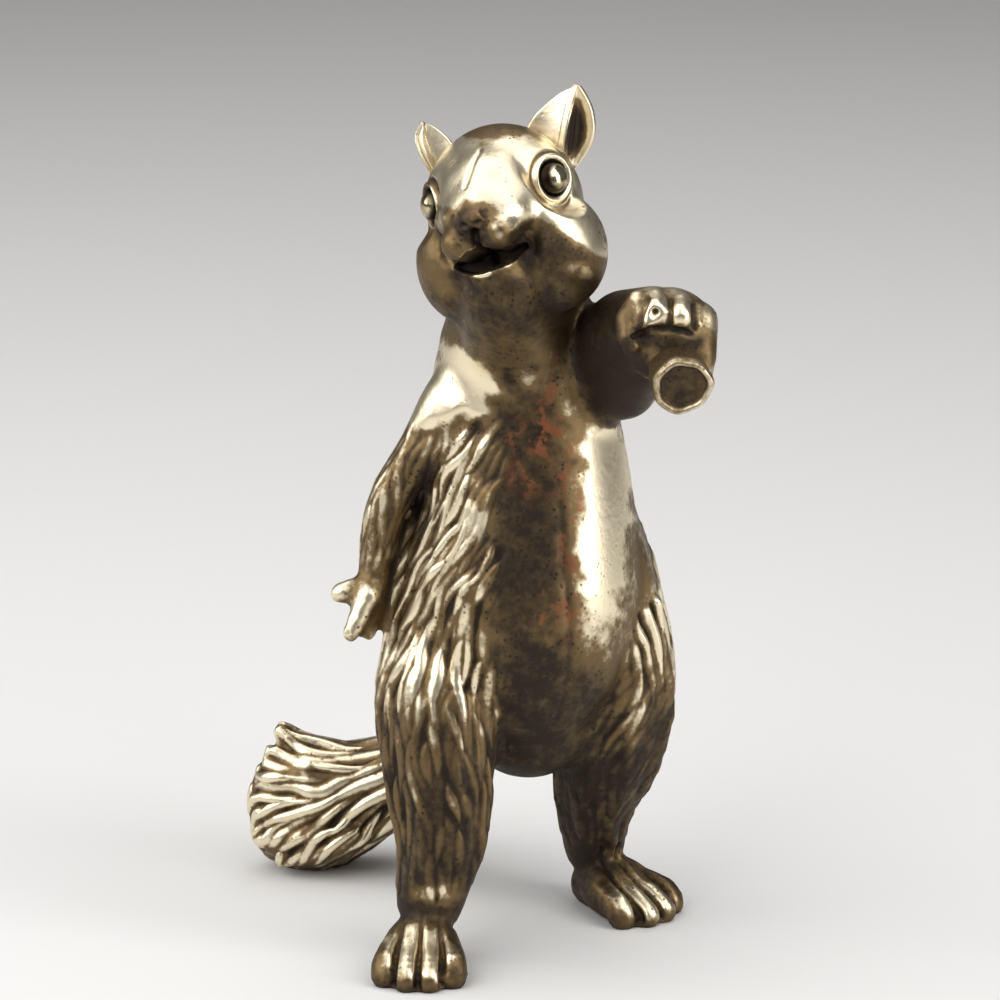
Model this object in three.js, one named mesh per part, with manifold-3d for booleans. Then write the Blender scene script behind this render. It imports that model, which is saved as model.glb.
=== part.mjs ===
// A cast brass squirrel ornament: the squirrel stands up on its hind feet, one step forward,
// with one arm down, the other holding out a short round stub, and its tail on the floor behind.
// It is made of separate brass castings. Each limb is coped to fit the trunk, located by a dowel
// and soldered, so a thin solder film parts every two castings.
// Millimetres, +Z up. The figure steps towards -Y and its left side is +X.
// The origin is on the floor, under the middle of the figure.

import * as THREE from "three";
import { LoftGeometry } from "three/addons/geometries/LoftGeometry.js";
import { mergeVertices } from "three/addons/utils/BufferGeometryUtils.js";
import Module from "manifold-3d";

// Joints between castings
const SOLDER_FILM = 0.1;
const DOWEL_DIAMETER = 1.5;
const DOWEL_LENGTH = 4.4;
const DOWEL_CLEARANCE = 0.06;

// Trunk, as oval stations from the rump up: height over the floor, width across the body,
// depth from back to belly, and how far the middle sways to the left and leans back.
const TRUNK_TURN = 20; // degrees that the belly is turned to the figure's left
const RUMP = { height: 14.4, width: 8.8, depth: 9.6, sway: 1.7, lean: 0.7 };
const HAUNCH = { height: 17.8, width: 12.4, depth: 13.0, sway: 1.6, lean: 0.2 };
const BELLY = { height: 22.5, width: 15.0, depth: 14.2, sway: 1.4, lean: -0.3 };
const RIBS = { height: 27.5, width: 13.8, depth: 12.8, sway: 1.6, lean: -0.2 };
const CHEST = { height: 32.0, width: 12.4, depth: 11.4, sway: 1.6, lean: 0.1 };
const SHOULDERS = { height: 36.0, width: 11.0, depth: 10.4, sway: 1.3, lean: 0.1 };
const NECK = { height: 39.5, width: 9.4, depth: 9.8, sway: 1.0, lean: -0.4 };
const ARMPIT_FOLD = { from: [-5.9, 1.2, 4.0], to: [-7.9, 1.0, -4.0], width: 2.2 }; // from the ribs

// Fur: only the main locks, as flutes along a casting
const LOCK_DEPTH = 0.4; // from the top of a lock down into the furrow beside it
const TRUNK_LOCKS = 18;
const LEG_LOCKS = 8;
const TAIL_LOCKS = 8;
const FUR_EDGE = { right: 34, left: 56 }; // degrees from the middle of the belly to the fur
const FUR_FADE = 12; // degrees over which the fur begins
const FUR_END = 0.1; // share of a casting's length over which the fur ends

// Head, in its own frame: x to the figure's left, -y out of the nose, z out of the crown.
const HEAD_RISE = 8.0; // from the neck seam up to the middle of the skull
const HEAD_SHIFT = -0.5; // sideways from the neck
const HEAD_REACH = 1.6; // forwards from the neck
const HEAD_TURN = 18; // degrees to the figure's right
const HEAD_LIFT = 15; // degrees that the nose is raised
const HEAD_TILT = 13; // degrees that the left ear is raised
const SKULL = { width: 9.8, depth: 10.8, height: 10.6 };
const BROW = { width: 6.4, depth: 6.0, height: 6.0, forward: 3.6, below: -0.7 };
const CHEEK = { width: 6.3, depth: 7.4, height: 7.5, out: 2.85, forward: 1.5, below: 3.0 };
const CHEEKBONE = { width: 4.4, depth: 4.5, height: 4.3, out: 2.9, forward: 2.9, below: 1.6 };
const MUZZLE = { width: 4.8, depth: 5.2, height: 3.9, forward: 5.4, below: 1.2 };
const MUZZLE_SIDE = { width: 3.7, depth: 3.9, height: 3.7, out: 1.9, forward: 4.2, below: 0.5 };
const WHISKER_PAD = { width: 2.7, depth: 2.8, height: 2.25, out: 1.17, forward: 6.9, below: 2.2 };
const NOSE = { width: 1.9, depth: 1.7, height: 1.5, forward: 7.75, below: 0.9 };
const JAW = { width: 4.2, depth: 4.2, height: 2.4, forward: 4.15, below: 4.45 };
const MOUTH = { width: 5.4, depth: 5.0, height: 1.3, forward: 7.4, below: 3.45 };
const CHIN = { width: 6.0, forward: 2.9, below: 5.0 };
const THROAT = { width: 7.6, depth: 7.0, height: 5.4, forward: 1.8, below: 4.6 };
const GULLET = { from: [0.3, -1.3, -1.0], width: 7.4 }; // from the neck seam
const EYE_DIAMETER = 2.3;
const EYE_ANGLE = 54; // degrees each eye looks away from the nose
const EYE_RAISE = 12; // degrees each eye sits above the middle of the skull
const EYE_SUNK = 0.5; // how far the eye's middle lies under the skull
const LID_THICKNESS = 0.7;
const EAR_LENGTH = 5.0;
const EAR_WIDTH = 4.2;
const EAR_DEPTH = 2.2;
const EAR_WALL = 0.42;
const EAR_ANGLE = 47; // degrees from the crown out to each ear's root
const EAR_LEAN = 28; // degrees that each ear leans out
const EAR_BACK = 10; // degrees that each ear's root lies behind the crown

// Arm hanging at the figure's right: stations measured from the middle of the shoulders.
const HANGING_ARM = {
  shoulder: { from: [-3.5, -1.5, -1.0], width: 5.4, depth: 6.0 },
  upper: { from: [-6.1, -1.8, -4.2], width: 3.3, depth: 3.8 },
  elbow: { from: [-7.7, -1.9, -6.6], width: 2.7, depth: 3.2 },
  forearm: { from: [-8.7, -2.2, -9.8], width: 2.2, depth: 2.4 },
  wrist: { from: [-9.2, -2.5, -11.9], width: 1.8, depth: 2.0 },
  palm: { from: [-9.5, -2.8, -12.8], width: 2.0, depth: 2.6 },
};
const FINGER_LENGTH = 2.6;
const FINGER_DIAMETER = 1.4;
const FINGER_SPREAD = 26; // degrees between two fingers
const THUMB_LENGTH = 1.7;

// Arm held out at the figure's left, measured the same way, with the paw on the stub.
const RAISED_ARM = {
  shoulder: { from: [4.0, 0.0, -0.2], width: 5.4, depth: 5.4 },
  elbow: { from: [6.2, -3.3, 0.9], width: 4.8, depth: 4.8 },
  bend: { from: [7.1, -5.5, 3.2], width: 4.8, depth: 4.8 },
};
const RAISED_FOREARM = {
  shoulder: { from: [4.5, -0.1, 1.2], width: 5.8, depth: 5.8 },
  muscle: { from: [6.6, -4.5, 4.1], width: 5.8, depth: 5.8 },
  wrist: { from: [8.0, -8.1, 5.5], width: 5.2, depth: 5.2 },
};
const PAW_DIAMETER = 6.0;
const PAW_REACH = [9.1, -10.8, 5.4];
const STUB_DIAMETER = 3.7;
const STUB_LENGTH = 6.4;
const STUB_RIM = 0.4;
const STUB_DISH = 0.4;
const STUB_TURN = 8; // degrees the stub points to the figure's left
const STUB_DROP = 13; // degrees the stub points down
const STUB_OUT = 4.4; // from the middle of the paw to the end of the stub
const STUB_BELOW = 0.9; // from the middle of the paw down to the stub's axis

// The closed paw's digits and the edge of its palm, measured from the middle of the paw.
const GRIP = {
  outer: { diameter: 1.35, points: [[-2.05, -0.1, 2.5], [-2.85, -1.3, 1.7], [-2.5, -2.3, 0.2]] },
  middle: { diameter: 1.7, points: [[-1.1, -0.5, 2.5], [-1.15, -1.9, 2.3], [-1.65, -2.3, 1.6]] },
  inner: { diameter: 1.7, points: [[0.4, -0.5, 2.3], [0.4, -2.1, 2.1]] },
  palm: { diameter: 2.4, points: [[1.5, -0.1, 1.2], [1.6, -1.5, -0.6], [1.55, -2.2, -1.8]] },
};

// Legs: the waist, the flank and the hip are measured from the middle of the haunches, the rest from
// the point on the floor under the ankle.
const LEADING_LEG = {
  floor: [-4.8, -6.0],
  heading: -3, // degrees that the toes point to the figure's left
  waist: { from: [-4.5, 0.1, 10.0], width: 5.2, depth: 5.2 },
  flank: { from: [-5.1, -0.8, 5.7], width: 6.6, depth: 6.6 },
  hip: { from: [-5.3, -1.7, 2.0], width: 7.0, depth: 7.4 },
  thigh: { from: [0.7, 3.0, 15.6], width: 7.4, depth: 8.8 },
  knee: { from: [1.0, 1.7, 11.0], width: 6.6, depth: 7.2 },
  shank: { from: [1.1, 1.1, 7.6], width: 5.6, depth: 5.8 },
  ankle: { from: [0.4, 0.2, 3.8], width: 4.2, depth: 4.2 },
};
const TRAILING_LEG = {
  floor: [6.1, 4.6],
  heading: 42,
  waist: { from: [4.2, 0.7, 10.2], width: 5.2, depth: 5.2 },
  flank: { from: [4.7, 0.8, 6.0], width: 6.6, depth: 6.6 },
  hip: { from: [5.3, 1.5, 2.2], width: 7.0, depth: 7.4 },
  thigh: { from: [1.3, -2.0, 15.4], width: 7.4, depth: 8.8 },
  knee: { from: [0.7, -2.0, 11.0], width: 6.8, depth: 7.4 },
  shank: { from: [0.0, -0.9, 7.4], width: 5.0, depth: 5.4 },
  ankle: { from: [0.0, 0.0, 3.8], width: 3.8, depth: 4.2 },
};
const FOOT_LENGTH = 6.8; // from the ankle to the tips of the toes
const FOOT_WIDTH = 6.2;
const FOOT_HEIGHT = 3.4;
const HEEL_LENGTH = 1.4; // from the ankle back
const TOE_DIAMETER = 2.0;
const TOE_LENGTH = 3.4;
const TOE_COUNT = 4;
const SOLE_FILED = 0.35; // how much of the feet is filed away to stand flat

// Tail: the root is measured from the middle of the rump, the rest lies along the floor.
const TAIL_ROOT = { from: [-0.7, 3.0, -0.6], width: 4.6, depth: 5.0 };
const TAIL = {
  fall: { at: [-2.2, 8.2, 10.4], width: 4.8, depth: 5.0 },
  bend: { at: [-5.4, 10.8, 7.0], width: 5.2, depth: 5.2 },
  brush: { at: [-8.8, 11.2, 5.3], width: 5.8, depth: 6.6 },
  fan: { at: [-12.4, 11.0, 4.2], width: 5.4, depth: 8.9 },
  tip: { at: [-14.5, 10.8, 4.2], width: 3.8, depth: 7.4 },
};
// Loose locks at the tail's end: where each parts from the brush, where it bends, and its tip.
const TAIL_TUFTS = [
  { width: 2.2, points: [[-9.5, 11.3, 7.2], [-12.4, 11.3, 8.1], [-14.3, 11.4, 9.2]] },
  { width: 2.0, points: [[-9.5, 10.6, 6.6], [-12.6, 10.6, 6.9], [-14.8, 10.9, 7.9]] },
  { width: 2.0, points: [[-11.0, 10.2, 5.5], [-13.8, 10.2, 5.9], [-15.4, 10.6, 6.7]] },
  { width: 2.2, points: [[-11.0, 9.6, 4.6], [-14.0, 9.6, 4.4], [-15.8, 10.2, 5.0]] },
  { width: 2.2, points: [[-10.5, 9.0, 3.6], [-13.6, 9.0, 2.6], [-15.7, 9.8, 2.6]] },
  { width: 2.0, points: [[-9.5, 9.0, 3.2], [-12.2, 8.7, 1.8], [-14.2, 9.2, 1.2]] },
];

const wasm = await Module();
wasm.setup();

// Vectors and frames

const vec = (list) => new THREE.Vector3(...list);
const radians = THREE.MathUtils.degToRad;
const UP = new THREE.Vector3(0, 0, 1);
const bodyAcross = new THREE.Vector3(1, 0, 0).applyAxisAngle(UP, radians(TRUNK_TURN));
const middleOf = (station) => vec([station.sway, station.lean, station.height]);
const shifted = (point, offset) => point.clone().add(vec(offset));
const ball = (diameter) => ({ width: diameter, depth: diameter, height: diameter });

// Solids: geometry to manifold and back, and the shapes that the castings are made of

function solid(geometry) {
  const bare = new THREE.BufferGeometry().copy(geometry);
  bare.deleteAttribute("normal");
  bare.deleteAttribute("uv");
  const merged = mergeVertices(bare);
  return new wasm.Manifold(
    new wasm.Mesh({
      numProp: 3,
      vertProperties: new Float32Array(merged.attributes.position.array),
      triVerts: new Uint32Array(merged.index.array),
    }),
  );
}

function geometryOf(made) {
  const { vertProperties, triVerts } = made.getMesh();
  const geometry = new THREE.BufferGeometry();
  geometry.setAttribute("position", new THREE.Float32BufferAttribute(vertProperties, 3));
  geometry.setIndex(Array.from(triVerts));
  geometry.computeVertexNormals();
  return geometry;
}

const join = (solids) => solids.reduce((whole, next) => whole.add(next));

// A smooth skin through oval stations, each with its middle, width and depth. The ends are domed.
// Grow makes the same skin thicker all round, to cut its neighbours with, and relief says how far
// it stands out at an angle round a section and a share of the way along.
function skin(stations, across, { sides = 16, steps = 3, grow = 0, relief = () => 0 } = {}) {
  const domeRings = 3;
  const domeEdge = 0.92; // share of a quarter turn at which a dome is closed
  const path = new THREE.CatmullRomCurve3(stations.map((s) => s.at), false, "centripetal");
  const girth = new THREE.SplineCurve(stations.map((s) => new THREE.Vector2(s.width, s.depth)));
  const ring = (t, shrink, slide) => {
    const along = path.getTangent(t);
    const side = across.clone().addScaledVector(along, -across.dot(along)).normalize();
    const front = new THREE.Vector3().crossVectors(along, side);
    const half = girth.getPoint(t).multiplyScalar(0.5).addScalar(grow);
    const middle = path.getPoint(t).addScaledVector(along, slide * Math.min(half.x, half.y));
    return Array.from({ length: sides }, (_, i) => {
      const angle = (i / sides) * 2 * Math.PI;
      const rise = relief(angle, t);
      return middle
        .clone()
        .addScaledVector(side, Math.cos(angle) * (half.x + rise) * shrink)
        .addScaledVector(front, Math.sin(angle) * (half.y + rise) * shrink);
    });
  };
  const domeAngle = (k) => (k / domeRings) * domeEdge * (Math.PI / 2);
  const sections = [];
  for (let k = domeRings; k > 0; k--) {
    sections.push(ring(0, Math.cos(domeAngle(k)), -Math.sin(domeAngle(k))));
  }
  const count = (stations.length - 1) * steps;
  for (let i = 0; i <= count; i++) {
    sections.push(ring(i / count, 1, 0));
  }
  for (let k = 1; k <= domeRings; k++) {
    sections.push(ring(1, Math.cos(domeAngle(k)), Math.sin(domeAngle(k))));
  }
  return new LoftGeometry(sections, { capStart: true, capEnd: true });
}

// An egg shape about a middle, with its three sizes.
function egg({ width, depth, height }, middle, grow = 0, detail = 16) {
  const geometry = new THREE.SphereGeometry(0.5, detail, Math.round(detail * 0.7));
  geometry.rotateX(Math.PI / 2);
  geometry.scale(width + 2 * grow, depth + 2 * grow, height + 2 * grow);
  return geometry.translate(middle.x, middle.y, middle.z);
}

// A round bar between two points.
function bar(from, to, diameter, sides = 14) {
  const length = from.distanceTo(to);
  const geometry = new THREE.CylinderGeometry(diameter / 2, diameter / 2, length, sides);
  const turn = new THREE.Quaternion().setFromUnitVectors(
    new THREE.Vector3(0, 1, 0),
    to.clone().sub(from).normalize(),
  );
  const middle = from.clone().lerp(to, 0.5);
  return geometry.applyQuaternion(turn).translate(middle.x, middle.y, middle.z);
}

// A tapering finger or toe, round in section, along a list of points.
function digit(points, diameter, tipShare, across) {
  const last = points.length - 1;
  const stations = points.map((at, i) => {
    const girth = diameter * (1 - (1 - tipShare) * (i / last));
    return { at, width: girth, depth: girth };
  });
  return solid(skin(stations, across, { sides: 8, steps: 2 }));
}

// A dowel is a bar across a seam. Its hole is the same bar with clearance all round.
function dowel(seam, direction) {
  const reach = direction.clone().setLength(DOWEL_LENGTH / 2);
  const bore = direction.clone().setLength(DOWEL_LENGTH / 2 + DOWEL_CLEARANCE);
  return {
    pin: bar(seam.clone().sub(reach), seam.clone().add(reach), DOWEL_DIAMETER),
    hole: solid(
      bar(seam.clone().sub(bore), seam.clone().add(bore), DOWEL_DIAMETER + 2 * DOWEL_CLEARANCE),
    ),
  };
}

// Flutes round a section, with three sides to each so that they show, up to a share of its length.
const SIDES_PER_LOCK = 3;
const flutes = (count, until) => (angle, t) =>
  (LOCK_DEPTH / 2) *
  Math.cos(count * angle) *
  (1 - THREE.MathUtils.smoothstep(t, until - FUR_END, until));

// All the space above or below a level, to cut a flat face with.
const REACH = 200;
const slab = (height) => new THREE.BoxGeometry(REACH, REACH, REACH).translate(0, 0, height);
const above = (level) => slab(level + REACH / 2);
const below = (level) => slab(level - REACH / 2);

// Trunk: one pear-shaped casting with a flat seat for the head

const trunkStations = [RUMP, HAUNCH, BELLY, RIBS, CHEST, SHOULDERS, NECK].map((station) => ({
  at: middleOf(station),
  width: station.width,
  depth: station.depth,
}));
const CHEST_SHARE = 4 / 6; // of the way from the rump to the neck, where the fur ends

// The back and the flanks are furry, and the belly is smooth.
function trunkRelief(angle, t) {
  const turn = THREE.MathUtils.euclideanModulo(THREE.MathUtils.radToDeg(angle) + 270, 360) - 180;
  const edge = turn < 0 ? FUR_EDGE.right : FUR_EDGE.left;
  const furry = THREE.MathUtils.smoothstep(Math.abs(turn), edge, edge + FUR_FADE);
  return furry * flutes(TRUNK_LOCKS, CHEST_SHARE)(angle, t);
}

// A fold of the flank fills the gap behind the hanging arm.
function armpitFold(grow) {
  const ends = [ARMPIT_FOLD.from, ARMPIT_FOLD.to].map((offset) => shifted(middleOf(RIBS), offset));
  return digit(ends, ARMPIT_FOLD.width + 2 * grow, 0.8, bodyAcross);
}

function trunkSolid(grow) {
  const body = skin(trunkStations, bodyAcross, {
    sides: TRUNK_LOCKS * SIDES_PER_LOCK,
    grow,
    relief: trunkRelief,
  });
  return solid(body)
    .add(armpitFold(grow))
    .subtract(solid(above(NECK.height + grow)));
}
const trunkCutter = trunkSolid(SOLDER_FILM);

// A limb casting: its parts joined, then coped to the trunk and bored for its dowel.
const cope = (parts, hole) => join(parts).subtract(trunkCutter).subtract(hole);

// Head: skull, cheeks, muzzle and throat in the head's own frame, and the neck down to its seat

const headFrame = new THREE.Group();
headFrame.position.copy(shifted(middleOf(NECK), [HEAD_SHIFT, -HEAD_REACH, HEAD_RISE]));
headFrame.rotation.set(radians(-HEAD_LIFT), radians(-HEAD_TILT), radians(-HEAD_TURN), "ZXY");
headFrame.updateMatrix();
const toHead = headFrame.matrix.clone().invert();

const SIDES = [
  { name: "right", side: -1 },
  { name: "left", side: 1 },
];
const ahead = ({ forward, below: drop }, out = 0) => vec([out, -forward, -drop]);

function neckSkin(grow) {
  const seat = middleOf(NECK);
  const stations = [
    { at: seat.clone().addScaledVector(UP, -NECK.depth / 4), width: NECK.width, depth: NECK.depth },
    { at: seat.clone().addScaledVector(UP, NECK.depth / 8), width: NECK.width, depth: NECK.depth },
    { at: seat.clone().lerp(headFrame.position, 0.6), width: NECK.width, depth: NECK.depth },
    { at: headFrame.position.clone(), width: SKULL.width * 0.8, depth: SKULL.depth * 0.8 },
  ];
  return skin(stations, bodyAcross, { sides: 22, grow }).applyMatrix4(toHead);
}

// The throat runs from the chin down to the neck's seat.
function throatSkin(grow) {
  const seat = shifted(middleOf(NECK), GULLET.from).applyMatrix4(toHead);
  const stations = [
    { at: ahead(CHIN), width: CHIN.width, depth: CHIN.width },
    { at: seat, width: GULLET.width, depth: GULLET.width },
  ];
  return skin(stations, vec([1, 0, 0]), { grow });
}

// The outside of the head, also used grown to keep the raised arm clear of it.
function headLumps(grow) {
  const lumpAt = (lump, out) => egg(lump, ahead(lump, out), grow, lump.width > 5 ? 16 : 12);
  const single = [BROW, MUZZLE, NOSE, JAW, THROAT].map((lump) => lumpAt(lump, 0));
  const paired = [CHEEK, CHEEKBONE, MUZZLE_SIDE, WHISKER_PAD].flatMap((lump) =>
    SIDES.map(({ side }) => lumpAt(lump, side * lump.out)),
  );
  const skull = egg(SKULL, vec([0, 0, 0]), grow, 24);
  return join([skull, neckSkin(grow), throatSkin(grow), ...single, ...paired].map(solid));
}

const eyeDirection = (side) =>
  vec([0, -1, 0])
    .applyAxisAngle(vec([1, 0, 0]), radians(-EYE_RAISE))
    .applyAxisAngle(UP, radians(side * EYE_ANGLE));

// Where a direction out of the middle of the skull leaves it.
function onSkull(direction) {
  const { width, depth, height } = SKULL;
  const scaled = vec([direction.x / width, direction.y / depth, direction.z / height]);
  return direction.clone().multiplyScalar(0.5 / scaled.length());
}

const underSkull = (direction, depth) => onSkull(direction).addScaledVector(direction, -depth);

const eyeball = (side, grow) =>
  egg(ball(EYE_DIAMETER), underSkull(eyeDirection(side), EYE_SUNK), grow, 16);

function eyelid(side) {
  const direction = eyeDirection(side);
  const radius = EYE_DIAMETER / 2 + LID_THICKNESS / 4;
  const ring = new THREE.TorusGeometry(radius, LID_THICKNESS / 2, 8, 22);
  ring.applyQuaternion(new THREE.Quaternion().setFromUnitVectors(UP, direction));
  const middle = underSkull(direction, EYE_SUNK / 2);
  return solid(ring.translate(middle.x, middle.y, middle.z));
}

function headCasting(neckHole) {
  const seatCut = solid(below(NECK.height + SOLDER_FILM).applyMatrix4(toHead));
  let casting = join([headLumps(0), ...SIDES.map(({ side }) => eyelid(side))])
    .subtract(seatCut)
    .subtract(solid(egg(MOUTH, ahead(MOUTH))))
    .subtract(neckHole);
  for (const { side } of SIDES) {
    casting = casting.subtract(solid(eyeball(side, SOLDER_FILM)));
  }
  return casting;
}

// Ear: a pointed leaf, hollowed from the outside, coped to the head
function ear(side) {
  const turned = (angle) =>
    UP.clone()
      .applyAxisAngle(vec([1, 0, 0]), radians(-EAR_BACK))
      .applyAxisAngle(vec([0, 1, 0]), radians(side * angle));
  const root = underSkull(turned(EAR_ANGLE), EAR_LENGTH / 5);
  const stand = turned(EAR_LEAN);
  const open = vec([side, -1.2, 0]).normalize();
  const across = new THREE.Vector3().crossVectors(stand, open).normalize();
  const hollow = open.clone().multiplyScalar(EAR_DEPTH / 2).add(vec([side * EAR_WALL, 0, 0]));
  const leaf = (wall, shift) =>
    [
      { share: 0.0, width: 0.9, depth: 1.0 },
      { share: 0.4, width: 1.0, depth: 1.0 },
      { share: 0.72, width: 0.66, depth: 0.72 },
      { share: 0.95, width: 0.16, depth: 0.3 },
    ].map(({ share, width, depth }) => ({
      at: root
        .clone()
        .addScaledVector(stand, share * (EAR_LENGTH - 2 * wall))
        .add(shift),
      width: Math.max(width * EAR_WIDTH - 2 * wall, wall / 2),
      depth: Math.max(depth * EAR_DEPTH - wall, wall / 2),
    }));
  const outer = solid(skin(leaf(0, vec([0, 0, 0])), across, { sides: 16 }));
  const inner = solid(skin(leaf(EAR_WALL, hollow), across, { sides: 16 }));
  return outer.subtract(inner).subtract(headLumps(SOLDER_FILM));
}

// Legs

// A foot on the floor: an arched sole with toes side by side.
function foot(leg) {
  const ankle = vec([...leg.floor, 0]);
  const forward = vec([0, -1, 0]).applyAxisAngle(UP, radians(leg.heading));
  const across = new THREE.Vector3().crossVectors(forward, UP);
  const sole = (along, height) =>
    ankle.clone().addScaledVector(forward, along).addScaledVector(UP, height - SOLE_FILED);
  const knuckles = FOOT_LENGTH - TOE_LENGTH;
  const heelWidth = FOOT_WIDTH * 0.6;
  const instepHeight = FOOT_HEIGHT * 1.1;
  const frontHeight = FOOT_HEIGHT * 0.84;
  const instep = [
    { at: sole(heelWidth / 2 - HEEL_LENGTH, FOOT_HEIGHT / 2), width: heelWidth, depth: FOOT_HEIGHT },
    { at: sole(knuckles / 2, instepHeight / 2), width: FOOT_WIDTH * 0.75, depth: instepHeight },
    { at: sole(knuckles, frontHeight / 2), width: FOOT_WIDTH * 0.88, depth: frontHeight },
  ];
  const toes = Array.from({ length: TOE_COUNT }, (_, i) => {
    const place = i / (TOE_COUNT - 1) - 0.5;
    const spread = place * (FOOT_WIDTH - TOE_DIAMETER);
    const tip = FOOT_LENGTH - TOE_DIAMETER / 2 - place * place * TOE_LENGTH;
    const points = [
      sole(knuckles - TOE_LENGTH / 3, frontHeight * 0.66).addScaledVector(across, spread * 0.7),
      sole(knuckles + TOE_LENGTH * 0.3, frontHeight * 0.55).addScaledVector(across, spread * 0.95),
      sole(tip, TOE_DIAMETER / 2).addScaledVector(across, spread),
    ];
    return digit(points, TOE_DIAMETER, 0.9, across);
  });
  return [solid(skin(instep, across, { sides: 16 })), ...toes];
}

const FUR_CUFF = 0.95; // share of the way from the waist to the ankle, where the fur ends
const thighOf = (leg) => shifted(vec([...leg.floor, 0]), leg.thigh.from);

function legSolid(leg, grow) {
  const floor = vec([...leg.floor, 0]);
  const { waist, flank, hip, thigh, knee, shank, ankle } = leg;
  const placed = (base, parts) =>
    parts.map(({ from, width, depth }) => ({ at: shifted(base, from), width, depth }));
  const stations = [
    ...placed(middleOf(HAUNCH), [waist, flank, hip]),
    ...placed(floor, [thigh, knee, shank, ankle]),
  ];
  const sides = LEG_LOCKS * SIDES_PER_LOCK;
  return solid(skin(stations, bodyAcross, { sides, grow, relief: flutes(LEG_LOCKS, FUR_CUFF) }));
}

const floorCutter = solid(below(0));
const legCasting = (leg, hole) =>
  cope([legSolid(leg, 0), ...foot(leg)], hole).subtract(floorCutter);

// Arms

const shoulderMiddle = middleOf(SHOULDERS);

function armSolid(arm) {
  const stations = Object.values(arm).map(({ from, width, depth }) => ({
    at: shifted(shoulderMiddle, from),
    width,
    depth,
  }));
  return solid(skin(stations, vec([1, 0, 0]), { sides: 14 }));
}

// The open paw: fingers fanned out below the palm, and a thumb pointing outwards.
function fingers() {
  const palm = shifted(shoulderMiddle, HANGING_ARM.palm.from);
  const down = palm.clone().sub(shifted(shoulderMiddle, HANGING_ARM.wrist.from)).normalize();
  const fanAxis = new THREE.Vector3(0, 1, 0);
  const made = [0, 1, 2].map((place) => {
    const aim = down.clone().applyAxisAngle(fanAxis, radians((0.3 - place) * FINGER_SPREAD));
    const root = shifted(palm, [0, (place - 1) * FINGER_DIAMETER * 0.7, 0]);
    return digit([root, root.clone().addScaledVector(aim, FINGER_LENGTH)], FINGER_DIAMETER, 0.7, fanAxis);
  });
  const thumb = palm.clone().addScaledVector(vec([-1, -0.3, 0.02]).normalize(), THUMB_LENGTH);
  return [...made, digit([palm, thumb], FINGER_DIAMETER, 0.9, fanAxis)];
}

const hangingArm = (hole) =>
  cope([armSolid(HANGING_ARM), ...fingers()], hole).subtract(legSolid(LEADING_LEG, SOLDER_FILM));

// The stub: a short round bar with a dished end, gripped in the raised paw.
const pawMiddle = shifted(shoulderMiddle, PAW_REACH);
const stubAxis = vec([0, -1, 0])
  .applyAxisAngle(vec([1, 0, 0]), radians(STUB_DROP))
  .applyAxisAngle(UP, radians(STUB_TURN));
const stubSide = new THREE.Vector3().crossVectors(UP, stubAxis).normalize();
const stubTop = new THREE.Vector3().crossVectors(stubAxis, stubSide);
const stubMiddle = pawMiddle.clone().addScaledVector(stubTop, -STUB_BELOW);

function stub(grow) {
  const end = stubMiddle.clone().addScaledVector(stubAxis, STUB_OUT);
  const radius = STUB_DIAMETER / 2 + grow;
  const bottom = -STUB_LENGTH - grow;
  const edge = STUB_RIM / 2;
  const profile = [
    [0, bottom],
    [radius - edge, bottom],
    [radius, bottom + edge],
    [radius, -edge],
    [radius - edge, 0],
    [radius - STUB_RIM, 0],
    [radius - STUB_RIM - STUB_DISH, -STUB_DISH],
    [0, -STUB_DISH],
  ].map(([x, y]) => new THREE.Vector2(x, y));
  const turn = new THREE.Quaternion().setFromUnitVectors(new THREE.Vector3(0, 1, 0), stubAxis);
  return new THREE.LatheGeometry(profile, 24)
    .applyQuaternion(turn)
    .translate(end.x, end.y, end.z);
}

// The gripping paw: a ball with its digits bent over the stub.
function grip() {
  const digits = Object.values(GRIP).map(({ diameter, points }) =>
    digit(points.map((offset) => shifted(pawMiddle, offset)), diameter, 0.8, vec([1, 0, 0])),
  );
  return [solid(egg(ball(PAW_DIAMETER), pawMiddle)), ...digits];
}

const raisedArm = (hole) =>
  cope([armSolid(RAISED_ARM), armSolid(RAISED_FOREARM), ...grip()], hole)
    .subtract(solid(geometryOf(headLumps(SOLDER_FILM)).applyMatrix4(headFrame.matrix)))
    .subtract(solid(stub(SOLDER_FILM)));

// Tail

const tailRoot = shifted(middleOf(RUMP), TAIL_ROOT.from);

function tailCasting(hole) {
  const stations = [
    { at: tailRoot, width: TAIL_ROOT.width, depth: TAIL_ROOT.depth },
    ...Object.values(TAIL).map(({ at, width, depth }) => ({ at: vec(at), width, depth })),
  ];
  const acrossFloor = vec([0, 1, 0]);
  const sides = TAIL_LOCKS * SIDES_PER_LOCK;
  const pastTip = 1 + FUR_END; // so that the locks don't fade
  const brush = [
    solid(skin(stations, acrossFloor, { sides, relief: flutes(TAIL_LOCKS, pastTip) })),
    ...TAIL_TUFTS.map(({ width, points }) => digit(points.map(vec), width, 0.5, acrossFloor)),
  ];
  return cope(brush, hole).subtract(floorCutter);
}

// Dowels: each crosses its seam, pointing from the middle of the trunk into the limb

function limbDowel(trunkMiddle, limbPoint) {
  const direction = limbPoint.clone().sub(trunkMiddle).normalize();
  const needle = bar(trunkMiddle, trunkMiddle.clone().addScaledVector(direction, REACH), 0.2, 6);
  const { min, max } = solid(needle).intersect(trunkSolid(0)).boundingBox();
  const inside = vec(max).sub(vec(min)).length();
  return dowel(trunkMiddle.clone().addScaledVector(direction, inside), direction);
}

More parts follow.
